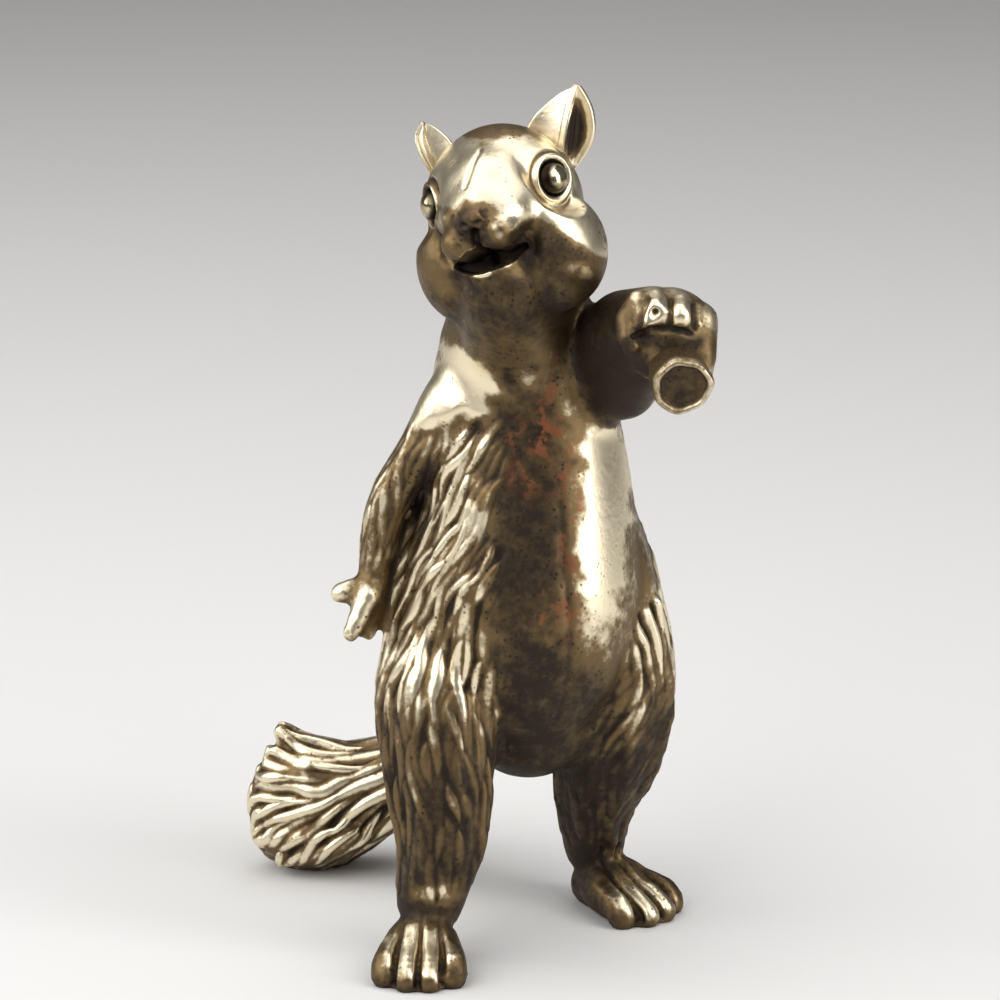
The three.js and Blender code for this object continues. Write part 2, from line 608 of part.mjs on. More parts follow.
const dowels = {
  neck: dowel(middleOf(NECK), UP),
  right_shoulder: limbDowel(shoulderMiddle, shifted(shoulderMiddle, HANGING_ARM.upper.from)),
  left_shoulder: limbDowel(shoulderMiddle, shifted(shoulderMiddle, RAISED_ARM.elbow.from)),
  right_hip: limbDowel(middleOf(HAUNCH), thighOf(LEADING_LEG)),
  left_hip: limbDowel(middleOf(HAUNCH), thighOf(TRAILING_LEG)),
  tail: limbDowel(middleOf(RUMP), tailRoot.clone().lerp(vec(TAIL.fall.at), 0.5)),
};
const trunk = Object.values(dowels).reduce(
  (casting, { hole }) => casting.subtract(hole),
  trunkSolid(0),
);
const neckHole = solid(geometryOf(dowels.neck.hole).applyMatrix4(toHead));

// The figure: every piece is a named mesh, with the head's pieces in the head's own frame

const castBrass = { color: 0x9a7a45, roughness: 0.34, metalness: 1 };
const brightBrass = { color: 0xc9a766, roughness: 0.2, metalness: 1 };
const rodBrass = { color: 0xb08d4c, roughness: 0.4, metalness: 1 };

function piece(name, geometry, finish) {
  const mesh = new THREE.Mesh(geometry, new THREE.MeshStandardMaterial(finish));
  mesh.name = name;
  return mesh;
}

const casting = (name, made) => piece(name, geometryOf(made), castBrass);

headFrame.add(casting("head", headCasting(neckHole)));
for (const { name, side } of SIDES) {
  headFrame.add(casting(`${name}_ear`, ear(side)));
  headFrame.add(piece(`${name}_eye`, eyeball(side, 0), brightBrass));
}

const figure = new THREE.Group();
figure.add(headFrame);
figure.add(casting("trunk", trunk));
figure.add(casting("right_arm", hangingArm(dowels.right_shoulder.hole)));
figure.add(casting("left_arm", raisedArm(dowels.left_shoulder.hole)));
figure.add(piece("held_stub", stub(0), castBrass));
figure.add(casting("right_leg", legCasting(LEADING_LEG, dowels.right_hip.hole)));
figure.add(casting("left_leg", legCasting(TRAILING_LEG, dowels.left_hip.hole)));
figure.add(casting("tail", tailCasting(dowels.tail.hole)));
for (const [name, { pin }] of Object.entries(dowels)) {
  figure.add(piece(`${name}_dowel`, pin, rodBrass));
}

// The figure's middle goes over the origin.
const box = new THREE.Box3().setFromObject(figure, true);
const middle = box.getCenter(new THREE.Vector3());
figure.position.set(-middle.x, -middle.y, -box.min.z);

const squirrel = new THREE.Group();
squirrel.add(figure);

export default squirrel;
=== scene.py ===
"""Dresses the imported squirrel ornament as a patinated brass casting.

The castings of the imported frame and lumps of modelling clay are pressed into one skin, which is
smoothed over the seams, carved with fur and a face, and cut back into the same named castings.
Sizes are in millimetres in the figure's own frame until a piece is finished.
"""

import logging
import math
from dataclasses import dataclass, field
from enum import Enum
from typing import Any, Callable, Sequence

import bmesh
import bpy
import numpy as np
from mathutils import Euler, Matrix, Vector
from mathutils.bvhtree import BVHTree


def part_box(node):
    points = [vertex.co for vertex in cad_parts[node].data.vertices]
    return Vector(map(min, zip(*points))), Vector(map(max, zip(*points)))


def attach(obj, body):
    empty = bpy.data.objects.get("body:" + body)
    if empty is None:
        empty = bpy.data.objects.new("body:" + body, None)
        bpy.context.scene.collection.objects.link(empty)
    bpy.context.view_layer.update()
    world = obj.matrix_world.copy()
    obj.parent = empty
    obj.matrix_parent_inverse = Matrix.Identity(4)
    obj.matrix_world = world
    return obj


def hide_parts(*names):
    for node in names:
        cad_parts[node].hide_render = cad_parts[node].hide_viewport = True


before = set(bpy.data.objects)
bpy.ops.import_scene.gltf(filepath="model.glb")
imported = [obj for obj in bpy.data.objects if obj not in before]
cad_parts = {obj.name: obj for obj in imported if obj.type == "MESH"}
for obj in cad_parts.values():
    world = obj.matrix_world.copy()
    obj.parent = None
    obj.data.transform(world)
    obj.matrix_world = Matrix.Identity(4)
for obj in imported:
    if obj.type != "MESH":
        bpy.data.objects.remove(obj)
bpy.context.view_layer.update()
LOG = logging.getLogger("squirrel")
MM = 0.001
NECK_SEAM = Vector((1.0, -0.4, 39.5))
VIEW_RISE = math.radians(16.0)
VIEW_DISTANCE = 350.0
VIEW_MIDDLE = 28.35
UP = np.array((0.0, 0.0, 1.0))
TINY = 1e-9
Array = np.ndarray
Course = Callable[[Array, Array], Array]


class Cast(Enum):
    """The castings that are carved from the joined skin."""

    TRUNK = "trunk"
    HEAD = "head"
    RIGHT_ARM = "right_arm"
    LEFT_ARM = "left_arm"
    RIGHT_LEG = "right_leg"
    LEFT_LEG = "left_leg"
    TAIL = "tail"


class Side(Enum):
    """The figure's own sides, by the sign of their x."""

    RIGHT = -1
    LEFT = 1


def figure_origin() -> Vector:
    """Returns where the figure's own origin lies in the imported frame, in millimetres."""
    low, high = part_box("neck_dowel")
    return (Vector(low) + Vector(high)) / (2 * MM) - NECK_SEAM


ORIGIN = figure_origin()
TO_FIGURE = Matrix.Translation(-ORIGIN) @ Matrix.Scale(1 / MM, 4)
TO_FRAME = TO_FIGURE.inverted()


def smoothstep(low: float, high: float, value: Any) -> Any:
    """Returns 0 below low, 1 above high and a smooth ramp between them."""
    share = np.clip((value - low) / (high - low), 0.0, 1.0)
    return share * share * (3.0 - 2.0 * share)


def bell(value: Any, middle: float, width: float) -> Any:
    """Returns 1 at the middle, falling off smoothly over the width."""
    return np.exp(-(((value - middle) / width) ** 2))


def unit(vectors: Array) -> Array:
    """Returns vectors, in rows, scaled to a length of one."""
    return vectors / np.maximum(np.linalg.norm(vectors, axis=-1, keepdims=True), TINY)


def through(stations: Sequence[Sequence[float]], share: Array) -> Array:
    """Returns places on a smooth curve.

    Args:
        stations: rows of the place along the curve, from 0 to 1, and then its values there.
        share: where the curve is asked for.

    Returns:
        One row of values for each share.
    """
    table = np.array(stations, float)
    knots, values = table[:, 0], table[:, 1:]
    slopes = np.gradient(values, knots, axis=0)
    span = np.clip(np.searchsorted(knots, share, side="right") - 1, 0, len(knots) - 2)
    width = (knots[span + 1] - knots[span])[:, None]
    t = np.clip((share[:, None] - knots[span][:, None]) / width, 0.0, 1.0)
    start = values[span] * (1 + 2 * t) * (1 - t) ** 2 + slopes[span] * width * t * (1 - t) ** 2
    return start + values[span + 1] * t * t * (3 - 2 * t) + slopes[span + 1] * width * t * t * (t - 1)


def gap_to(points: Array, path: Array) -> tuple[Array, Array]:
    """Returns how far points lie from a path, and how far along it.

    Args:
        points: the points, in rows.
        path: the path's corners, in rows.

    Returns:
        The distances, and the share of the path from 0 to 1.
    """
    start = path[:-1]
    span = path[1:] - start
    length = np.maximum(np.einsum("jk,jk->j", span, span), TINY)
    offset = points[:, None, :] - start[None]
    along = np.clip(np.einsum("ijk,jk->ij", offset, span) / length, 0.0, 1.0)
    gap = np.linalg.norm(offset - along[..., None] * span[None], axis=2)
    best = gap.argmin(axis=1)
    rows = np.arange(len(points))
    return gap[rows, best], (best + along[rows, best]) / len(start)


def seen(points: Array) -> Array:
    """Returns where points lie in the front view.

    Args:
        points: the points, in rows.

    Returns:
        Millimetres right of and above the view's middle, in rows.
    """
    high = points[:, 2] - VIEW_MIDDLE
    depth = VIEW_DISTANCE + points[:, 1] * math.cos(VIEW_RISE) - high * math.sin(VIEW_RISE)
    up = points[:, 1] * math.sin(VIEW_RISE) + high * math.cos(VIEW_RISE)
    return np.stack([points[:, 0], up], axis=1) * (VIEW_DISTANCE / depth)[:, None]


class Sock:
    """A shader socket that Python operators can be used on."""

    def __init__(self, shader: "Shader", socket: bpy.types.NodeSocket) -> None:
        """Wraps an output socket of a shader's node tree."""
        self.shader = shader
        self.socket = socket

    def _math(self, operation: str, *values: Any) -> "Sock":
        """Adds a Math node over this socket's shader and returns its result."""
        inputs = dict(enumerate(values))
        return self.shader.node("ShaderNodeMath", {"operation": operation}, inputs)

    def __add__(self, other: Any) -> "Sock":
        """Returns self + other."""
        return self._math("ADD", self, other)

    __radd__ = __add__

    def __sub__(self, other: Any) -> "Sock":
        """Returns self - other."""
        return self._math("SUBTRACT", self, other)

    def __rsub__(self, other: Any) -> "Sock":
        """Returns other - self."""
        return self._math("SUBTRACT", other, self)

    def __mul__(self, other: Any) -> "Sock":
        """Returns self * other."""
        return self._math("MULTIPLY", self, other)

    __rmul__ = __mul__

    def between(self, low: float, high: float) -> "Sock":
        """Returns a smooth ramp from 0 at low to 1 at high."""
        settings = {"interpolation_type": "SMOOTHSTEP"}
        return self.shader.node("ShaderNodeMapRange", settings, {0: self, 1: low, 2: high})


class Shader:
    """Builds one node material."""

    def __init__(self, name: str) -> None:
        """Makes an empty material with an output.

        Args:
            name: the material's name.
        """
        self.material = bpy.data.materials.new(name)
        self.material.use_nodes = True
        self.tree = self.material.node_tree
        self.tree.nodes.clear()
        self.output = self.tree.nodes.new("ShaderNodeOutputMaterial")

    def node(
        self, kind: str, settings: dict[str, Any], inputs: dict[Any, Any], output: Any = 0
    ) -> Sock:
        """Adds any node.

        Args:
            kind: the node's type name.
            settings: attributes of the node, set first.
            inputs: values or Socks by the name or number of the input.
            output: the name or number of the output that is returned.

        Returns:
            The asked output as a Sock.
        """
        made = self.tree.nodes.new(kind)
        for key, value in settings.items():
            setattr(made, key, value)
        for key, value in inputs.items():
            if isinstance(value, Sock):
                self.tree.links.new(value.socket, made.inputs[key])
            else:
                made.inputs[key].default_value = value
        return Sock(self, made.outputs[output])

    def mix(self, factor: Any, first: Any, second: Any) -> Sock:
        """Returns a colour between first and second."""
        rows = [tuple(c) + (1.0,) if isinstance(c, tuple) else c for c in (first, second)]
        values = {0: factor, 6: rows[0], 7: rows[1]}
        return self.node("ShaderNodeMix", {"data_type": "RGBA"}, values, 2)

    def attribute(self, name: str) -> Sock:
        """Returns a number that is stored on the mesh's points."""
        return self.node("ShaderNodeAttribute", {"attribute_name": name}, {}, "Fac")

    def noise(self, scale: float, detail: float, roughness: float = 0.5) -> Sock:
        """Returns noise on Object coordinates, with scale in cycles per metre."""
        place = self.node("ShaderNodeTexCoord", {}, {}, "Object")
        values = {"Vector": place, "Scale": scale, "Detail": detail, "Roughness": roughness}
        return self.node("ShaderNodeTexNoise", {}, values, "Fac")

    def pits(self, scale: float) -> Sock:
        """Returns the distance to scattered points on Object coordinates."""
        place = self.node("ShaderNodeTexCoord", {}, {}, "Object")
        return self.node("ShaderNodeTexVoronoi", {}, {"Vector": place, "Scale": scale}, "Distance")

    def bump(self, height: Sock, depth: float, strength: float) -> Sock:
        """Returns a normal roughened by a height."""
        values = {"Strength": strength, "Distance": depth, "Height": height}
        return self.node("ShaderNodeBump", {}, values)

    def finish(self, inputs: dict[Any, Any]) -> bpy.types.Material:
        """Adds the Principled shader with its inputs and returns the material."""
        surface = self.node("ShaderNodeBsdfPrincipled", {}, inputs)
        self.tree.links.new(surface.socket, self.output.inputs["Surface"])
        return self.material


@dataclass(frozen=True)
class CastBrass:
    """Cast brass, dark in its recesses and rubbed bright on its high places."""

    name: str = "cast_brass_patinated"
    bright: tuple = (0.88, 0.77, 0.55)
    warm: tuple = (0.185, 0.125, 0.06)
    dark: tuple = (0.026, 0.0155, 0.0085)
    red: tuple = (0.235, 0.072, 0.021)
    rough_bright: float = 0.33
    blotch_scale: float = 260.0
    mottle_scale: float = 780.0
    stain_scale: float = 800.0
    grain_scale: float = 900.0
    pit_scale: float = 2100.0
    speck_scale: float = 2300.0
    pit_depth: float = 0.00006
    pit_strength: float = 0.6

    def material(self) -> bpy.types.Material:
        """Mixes the finish, which reads the patina, painted shade and painted highlights stored on each
        point.

        Returns:
            The material.
        """
        shader = Shader(self.name)
        patina = shader.attribute("patina")
        rust = shader.attribute("rust")
        blotch = shader.noise(self.blotch_scale, 5.0, 0.62)
        speck = shader.noise(self.speck_scale, 3.0, 0.6)
        pitted = 1.0 - shader.pits(self.pit_scale).between(0.06, 0.30)
        few = blotch.between(0.42, 0.6)
        mottle = shader.noise(self.mottle_scale, 4.0, 0.65)
        cloud = 0.5 * (blotch - 0.5) + 0.5 * (mottle - 0.5)
        # The stored value is patina together with painted shade and painted highlights; noise is laid
        # over it.
        dark = patina + cloud + 0.34 * (speck - 0.5) + 0.3 * pitted * few
        warm = dark.between(0.10, 0.46)
        deep = dark.between(0.46, 0.98)
        stain = rust * shader.noise(self.stain_scale, 5.0, 0.66).between(0.48, 0.6)
        metal = shader.mix(deep, shader.mix(warm, self.bright, self.warm), self.dark)
        colour = shader.mix(0.85 * stain, metal, self.red)
        rough = self.rough_bright + 0.12 * warm + 0.14 * deep + 0.14 * (speck - 0.5)
        grain = shader.noise(self.grain_scale, 4.0, 0.6)
        height = 0.5 * speck + 0.35 * grain - 0.25 * pitted * few
        return shader.finish(
            {
                "Base Color": colour,
                "Metallic": 1.0 - 0.4 * deep - 0.4 * stain,
                "Roughness": rough,
                "Normal": shader.bump(height, self.pit_depth, self.pit_strength),
            }
        )


@dataclass(frozen=True)
class PolishedBrass:
    """Brass rubbed to a polish, as on the eyes, where a painted highlight lies on a bead painted dark
    round it.
    """

    name: str = "polished_brass"
    bright: tuple = (0.80, 0.69, 0.47)
    dark: tuple = (0.20, 0.15, 0.085)
    # The colour of the painted shade round the bead's painted highlight.
    edge: tuple = (0.02, 0.014, 0.008)
    cloud_scale: float = 900.0
    ripple_scale: float = 2600.0
    ripple_depth: float = 0.00002

    def material(self) -> bpy.types.Material:
        """Mixes the finish, with a few darker clouds and the painted shade stored on a bead round its
        painted highlight.

        Returns:
            The material.
        """
        shader = Shader(self.name)
        # How far the bead is painted dark round its painted highlight.
        edge = shader.attribute("patina")
        cloud = shader.noise(self.cloud_scale, 3.0, 0.5)
        metal = shader.mix(cloud.between(0.35, 0.7), self.bright, self.dark)
        ripple = shader.noise(self.ripple_scale, 2.0)
        return shader.finish(
            {
                "Base Color": shader.mix(edge, metal, self.edge),
                "Metallic": 1.0,
                "Roughness": 0.1 + 0.1 * cloud + 0.25 * edge,
                "Normal": shader.bump(ripple, self.ripple_depth, 0.2),
            }
        )


@dataclass(frozen=True)
class RodBrass:
    """Drawn brass rod, as cut."""

    name: str = "rod_brass"
    bright: tuple = (0.69, 0.55, 0.30)
    dull: tuple = (0.45, 0.34, 0.17)
    streak_scale: float = 1400.0

    def material(self) -> bpy.types.Material:
        """Mixes the finish, with dull streaks.

        Returns:
            The material.
        """
        shader = Shader(self.name)
        streak = shader.noise(self.streak_scale, 4.0, 0.6)
        return shader.finish(
            {
                "Base Color": shader.mix(streak.between(0.4, 0.7), self.bright, self.dull),
                "Metallic": 1.0,
                "Roughness": 0.3 + 0.2 * streak,
            }
        )


@dataclass(frozen=True)
class PaleFloor:
    """A plain pale studio floor."""

    name: str = "pale_floor"
    colour: tuple = (0.72, 0.71, 0.695)
    cloud_scale: float = 9.0
    cloud_shade: float = 0.95

    def material(self) -> bpy.types.Material:
        """Mixes the finish, with a faint unevenness.

        Returns:
            The material.
        """
        shader = Shader(self.name)
        cloud = shader.noise(self.cloud_scale, 3.0)
        shade = tuple(self.cloud_shade * c for c in self.colour)
        return shader.finish(
            {"Base Color": shader.mix(cloud, self.colour, shade), "Roughness": 0.8}
        )


class Skin:
    """A mesh in millimetres, held as arrays."""

    SHRINK = 0.5
    SWELL = -0.53

    def __init__(self, mesh: bpy.types.Mesh) -> None:
        """Reads a mesh's points and the neighbours of each.

        Args:
            mesh: the mesh, which write puts the points back into.
        """
        self.mesh = mesh
        points = np.empty(len(mesh.vertices) * 3, np.float32)
        mesh.vertices.foreach_get("co", points)
        self.points = points.reshape(-1, 3).astype(float)
        edges = np.empty(len(mesh.edges) * 2, np.int32)
        mesh.edges.foreach_get("vertices", edges)
        edges = edges.reshape(-1, 2)
        tails = np.concatenate([edges[:, 0], edges[:, 1]])
        heads = np.concatenate([edges[:, 1], edges[:, 0]])
        self.heads = heads[np.argsort(tails, kind="stable")]
        self.degree = np.bincount(tails, minlength=len(self.points))
        self.starts = np.concatenate([[0], np.cumsum(self.degree)[:-1]])

    def around(self, values: Array) -> Array:
        """Returns the mean of each point's neighbours, for one number or a row a point."""
        total = np.add.reduceat(values[self.heads], self.starts, axis=0)
        return total / (self.degree[:, None] if values.ndim == 2 else self.degree)

    def eased(self, values: Array, rounds: int, share: Any = 0.5) -> Array:
        """Returns values drawn towards their neighbours.

        Args:
            values: one number, or a row, a point.
            rounds: how often it is done.
            share: how far, for all points or for each.

        Returns:
            The smoothed values.
        """
        weight = share[:, None] if np.ndim(share) == 1 and values.ndim == 2 else share
        for _ in range(rounds):
            values = values + weight * (self.around(values) - values)
        return values

    def fair(self, rounds: int, share: Any) -> None:
        """Smooths the points without shrinking thin parts."""
        for _ in range(rounds):
            self.points = self.eased(self.points, 1, self.SHRINK * share)
            self.points = self.eased(self.points, 1, self.SWELL * share)

    def normals(self) -> Array:
        """Finds the outward direction at each point.

        Returns:
            Unit normals, in rows.
        """
        self.write()
        found = np.empty(len(self.points) * 3, np.float32)
        self.mesh.vertex_normals.foreach_get("vector", found)
        return found.reshape(-1, 3).astype(float)

    def push(self, amount: Array) -> None:
        """Moves each point along its normal."""
        self.points = self.points + self.normals() * amount[:, None]

    def write(self) -> None:
        """Puts the points back into the mesh that they were read from."""
        self.mesh.vertices.foreach_set("co", self.points.astype(np.float32).ravel())
        self.mesh.update()

    def corners(self) -> tuple[Array, Array]:
        """Lists the corners of all faces.

        Returns:
            The point, and the face, of each corner.
        """
        points = np.empty(len(self.mesh.loops), np.int32)
        self.mesh.loops.foreach_get("vertex_index", points)
        count = np.empty(len(self.mesh.polygons), np.int32)
        self.mesh.polygons.foreach_get("loop_total", count)
        return points, np.repeat(np.arange(len(count)), count)

    def shares(self, labels: Array, count: int) -> Array:
        """Counts the labels round each point.

        Args:
            labels: a number for each face.
            count: how many labels there are.

        Returns:
            The share of each label, one column a label.
        """
        points, faces = self.corners()
        size = len(self.points)
        sums = [np.bincount(points, labels[faces] == k, size) for k in range(count)]
        return np.stack(sums, axis=1) / np.bincount(points, minlength=size)[:, None]

    def tree(self) -> BVHTree:
        """Makes a search tree over the faces.

        Returns:
            The tree.
        """
        bm = bmesh.new()
        self.write()
        bm.from_mesh(self.mesh)
        found = BVHTree.FromBMesh(bm)
        bm.free()
        return found


def added(thing: bpy.types.Object) -> bpy.types.Object:
    """Returns an object after adding it to the scene."""
    bpy.context.scene.collection.objects.link(thing)
    return thing


def evaluated(mesh: bpy.types.Mesh, kind: str, **settings: Any) -> bpy.types.Mesh:
    """Returns a copy of a mesh with one modifier applied.

    Args:
        mesh: the mesh to work from.
        kind: the modifier's type.
        settings: the modifier's settings.

    Returns:
        The new mesh.
    """
    holder = added(bpy.data.objects.new("work", mesh))
    modifier = holder.modifiers.new("work", kind)
    for key, value in settings.items():
        setattr(modifier, key, value)
    graph = bpy.context.evaluated_depsgraph_get()
    made = bpy.data.meshes.new_from_object(holder.evaluated_get(graph))
    bpy.data.objects.remove(holder)
    return made


def casting_copy(name: str) -> bmesh.types.BMesh:
    """Copies a CAD node.

    Args:
        name: the CAD node.

    Returns:
        The copy in the figure's frame, with its doubled points merged.
    """
    bm = bmesh.new()
    bm.from_mesh(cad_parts[name].data)
    bmesh.ops.remove_doubles(bm, verts=bm.verts, dist=1e-6)
    bmesh.ops.transform(bm, matrix=TO_FIGURE, verts=bm.verts)
    bm.normal_update()
    return bm


class Clay:
    """Castings and lumps that are pressed together into one skin."""

    OVERLAP = 0.09
    LARGE_EGG = 2.0
    BAR_SIDES = 48

    def __init__(self) -> None:
        """Starts with nothing."""
        self.bm = bmesh.new()

    def casting(self, name: str, nudge: Callable[[Vector], Vector] | None = None) -> None:
        """Adds a casting, grown a little so that it meets its neighbours.

        Args:
            name: the CAD node.
            nudge: how far each point is moved besides.
        """
        lump = casting_copy(name)
        for vert in lump.verts:
            vert.co += vert.normal * self.OVERLAP
            if nudge:
                vert.co += nudge(vert.co)
        self._add(lump)

    def egg(self, middle: Sequence[float], radii: Sequence[float], pose: Matrix) -> None:
        """Adds an egg-shaped lump.

        Args:
            middle: its middle.
            radii: its half sizes.
            pose: the frame that both are given in.
        """
        matrix = pose @ Matrix.Translation(middle) @ Matrix.Diagonal((*radii, 1.0))
        lump = bmesh.new()
        fine = 5 if max(radii) > self.LARGE_EGG else 4
        bmesh.ops.create_icosphere(lump, subdivisions=fine, radius=1.0, matrix=matrix)
        self._add(lump)

    def bar(self, stations: Sequence[Sequence[float]]) -> None:
        """Adds a round bar.

        Args:
            stations: rows of x, y, z and the radius there.
        """
        for *place, radius in stations:
            self.egg(place, (radius,) * 3, Matrix())
        for first, second in zip(stations[:-1], stations[1:]):
            start, stop = Vector(first[:3]), Vector(second[:3])
            turn = (stop - start).to_track_quat("Z", "Y").to_matrix().to_4x4()
            lump = bmesh.new()
            bmesh.ops.create_cone(
                lump,
                cap_ends=True,
                segments=self.BAR_SIDES,
                radius1=first[3],
                radius2=second[3],
                depth=(stop - start).length,
                matrix=Matrix.Translation((start + stop) / 2) @ turn,
            )
            self._add(lump)

    def bars(self, rows: Sequence[Sequence[Sequence[float]]]) -> None:
        """Adds a round bar for each row of stations."""
        for stations in rows:
            self.bar(stations)

    def _add(self, lump: bmesh.types.BMesh) -> None:
        """Lays a lump beside the others.

        Args:
            lump: the lump, which is freed.
        """
        mesh = bpy.data.meshes.new("lump")
        lump.to_mesh(mesh)
        lump.free()
        self.bm.from_mesh(mesh)
        bpy.data.meshes.remove(mesh)

    def skin(self, voxel: float) -> bpy.types.Mesh:
        """Joins everything that was added.

        Args:
            voxel: how fine the joined mesh is.

        Returns:
            The outside of it all, as one mesh.
        """
        rough = bpy.data.meshes.new("rough")
        self.bm.to_mesh(rough)
        self.bm.free()
        made = evaluated(rough, "REMESH", mode="VOXEL", voxel_size=voxel)
        bm = bmesh.new()
        bm.from_mesh(made)
        self._keep_outside(bm)
        bm.to_mesh(made)
        bm.free()
        return made

    @staticmethod
    def _keep_outside(bm: bmesh.types.BMesh) -> None:
        """Deletes every shell but the largest.

        Args:
            bm: the shells, which are changed.
        """
        left = set(bm.verts)
        shells = []
        while left:
            stack = [left.pop()]
            shell = []
            while stack:
                vert = stack.pop()
                shell.append(vert)
                for edge in vert.link_edges:
                    other = edge.other_vert(vert)
                    if other in left:
                        left.remove(other)
                        stack.append(other)
            shells.append(shell)
        shells.sort(key=len)
        for shell in shells[:-1]:
            bmesh.ops.delete(bm, geom=shell, context="VERTS")


@dataclass
class Flow:
    """How the fur of one region lies.

    Attributes:
        mask: how furry each point of the skin is.
        course: gives the way that fur runs, from a place and the outward direction there.
        apart: how far strands keep from each other, along and across.
        length: shortest and longest strand.
        width: narrowest and widest strand.
        height: how far strands stand out of the hollows between them.
        sunk: how far the hollows lie under the plain skin.
        seed: starts the random draws.
    """

    mask: Array
    course: Course
    apart: tuple[float, float]
    length: tuple[float, float]
    width: tuple[float, float]
    height: float
    sunk: float
    seed: int


class Fur:
    """Carves strands of fur into a skin."""

    STEP = 0.35
    TRIES = 7000
    THINNEST_FUR = 0.02
    SEEDED_FUR = 0.4
    SWING = (0.08, 0.32)
    WAVE = (3.5, 6.5)
    UNEVEN = (0.6, 1.15)
    FACING_BACK = -0.25

    def __init__(self, skin: Skin, tree: BVHTree) -> None:
        """Prepares to carve a skin.

        Args:
            skin: the skin.
            tree: a search tree of its plain surface.
        """
        self.skin = skin
        self.tree = tree
        self.facing = skin.normals()
        self.relief = np.zeros(len(skin.points))
        self.level = np.zeros(len(skin.points))

    def grow(self, flow: Flow) -> int:
        """Carves one region.

        Args:
            flow: how its fur lies.

        Returns:
            The number of strands.
        """
        rng = np.random.default_rng(flow.seed)
        area = np.flatnonzero(flow.mask > self.THINNEST_FUR)
        spots, facing = self.skin.points[area], self.facing[area]
        rise = np.zeros(len(area))
        seeds = self._seeds(flow, rng)
        for place, out in seeds:
            self._press(self._strand(flow, place, rng), out, flow, rng, (spots, facing, rise))
        self.relief[area] += flow.mask[area] * (rise - flow.sunk)
        self.level[area] += flow.mask[area] * (rise / flow.height - 0.5)
        return len(seeds)

    def _seeds(self, flow: Flow, rng: np.random.Generator) -> list[tuple[Array, Array]]:
        """Chooses where strands lie, spread evenly where fur grows.

        Args:
            flow: how the fur lies.
            rng: the random draws.

        Returns:
            The places, each with its outward direction.
        """
        likely = np.flatnonzero(flow.mask > self.SEEDED_FUR)
        chosen: list[tuple[Array, Array]] = []
        lie = np.empty((0, 6))
        for index in rng.permutation(likely)[: self.TRIES]:
            place, out = self.skin.points[index], self.facing[index]
            if len(lie):
                offset = lie[:, :3] - place
                along = np.einsum("ij,ij->i", offset, lie[:, 3:])
                across = np.sum(offset**2, axis=1) - along**2
                if (along**2 / flow.apart[0] ** 2 + across / flow.apart[1] ** 2).min() < 1.0:
                    continue
            chosen.append((place, out))
            way = unit(flow.course(place, out))
            lie = np.vstack([lie, np.concatenate([place, way])])
        return chosen

    def _strand(self, flow: Flow, seed: Array, rng: np.random.Generator) -> Array:
        """Lays one strand over the skin.

        Args:
            flow: how the fur lies.
            seed: a place on the strand.
            rng: the random draws.

        Returns:
            The wavy path of the strand.
        """
        length = rng.uniform(*flow.length)
        swing = rng.uniform(*self.SWING)
        beat = math.tau / rng.uniform(*self.WAVE)
        phase = rng.uniform(0.0, math.tau)
        sides = []
        for sign, share in ((-1.0, 0.45), (1.0, 0.55)):
            place = seed
            line = []
            for step in range(max(2, int(length * share / self.STEP))):
                out = np.array(self.tree.find_nearest(Vector(place))[1])
                way = unit(flow.course(place, out))
                turn = swing * math.sin(beat * sign * step * self.STEP + phase)
                way = way * math.cos(turn) + np.cross(out, way) * math.sin(turn)
                found = self.tree.find_nearest(Vector(place + sign * way * self.STEP))
                place = np.array(found[0])
                line.append(place)
            sides.append(line)
        return np.array(sides[0][::-1] + [seed] + sides[1])

    def _press(
        self,
        path: Array,
        out: Array,
        flow: Flow,
        rng: np.random.Generator,
        region: tuple[Array, Array, Array],
    ) -> None:
        """Raises a region over one strand.

        Args:
            path: the strand's course.
            out: the outward direction at its middle.
            flow: the fur that it belongs to.
            rng: the random draws.
            region: the points, their outward directions, and their rise, which is changed.
        """
        spots, facing, rise = region
        width = rng.uniform(*flow.width)
        height = flow.height * rng.uniform(*self.UNEVEN)
        low, high = path.min(axis=0) - width, path.max(axis=0) + width
        near = np.flatnonzero(np.all((spots > low) & (spots < high), axis=1))
        near = near[facing[near] @ out > self.FACING_BACK]
        if not len(near):
            return
        gap, share = gap_to(spots[near], path)
        taper = np.sin(np.pi * np.clip(share, 0.005, 0.995) ** 0.75) ** 0.7
        across = gap / np.maximum(0.5 * width * taper, 1e-3)
        dome = np.clip(1.0 - across**2, 0.0, 1.0) ** 0.7
        crest = height * (0.35 + 0.65 * taper) * dome
        rise[near] = np.maximum(rise[near], crest)


@dataclass
class Marks:
    """What is stored on the points for the finish: patina with painted shade and painted highlights, and
    red stains.
    """

    patina: Array
    rust: Array


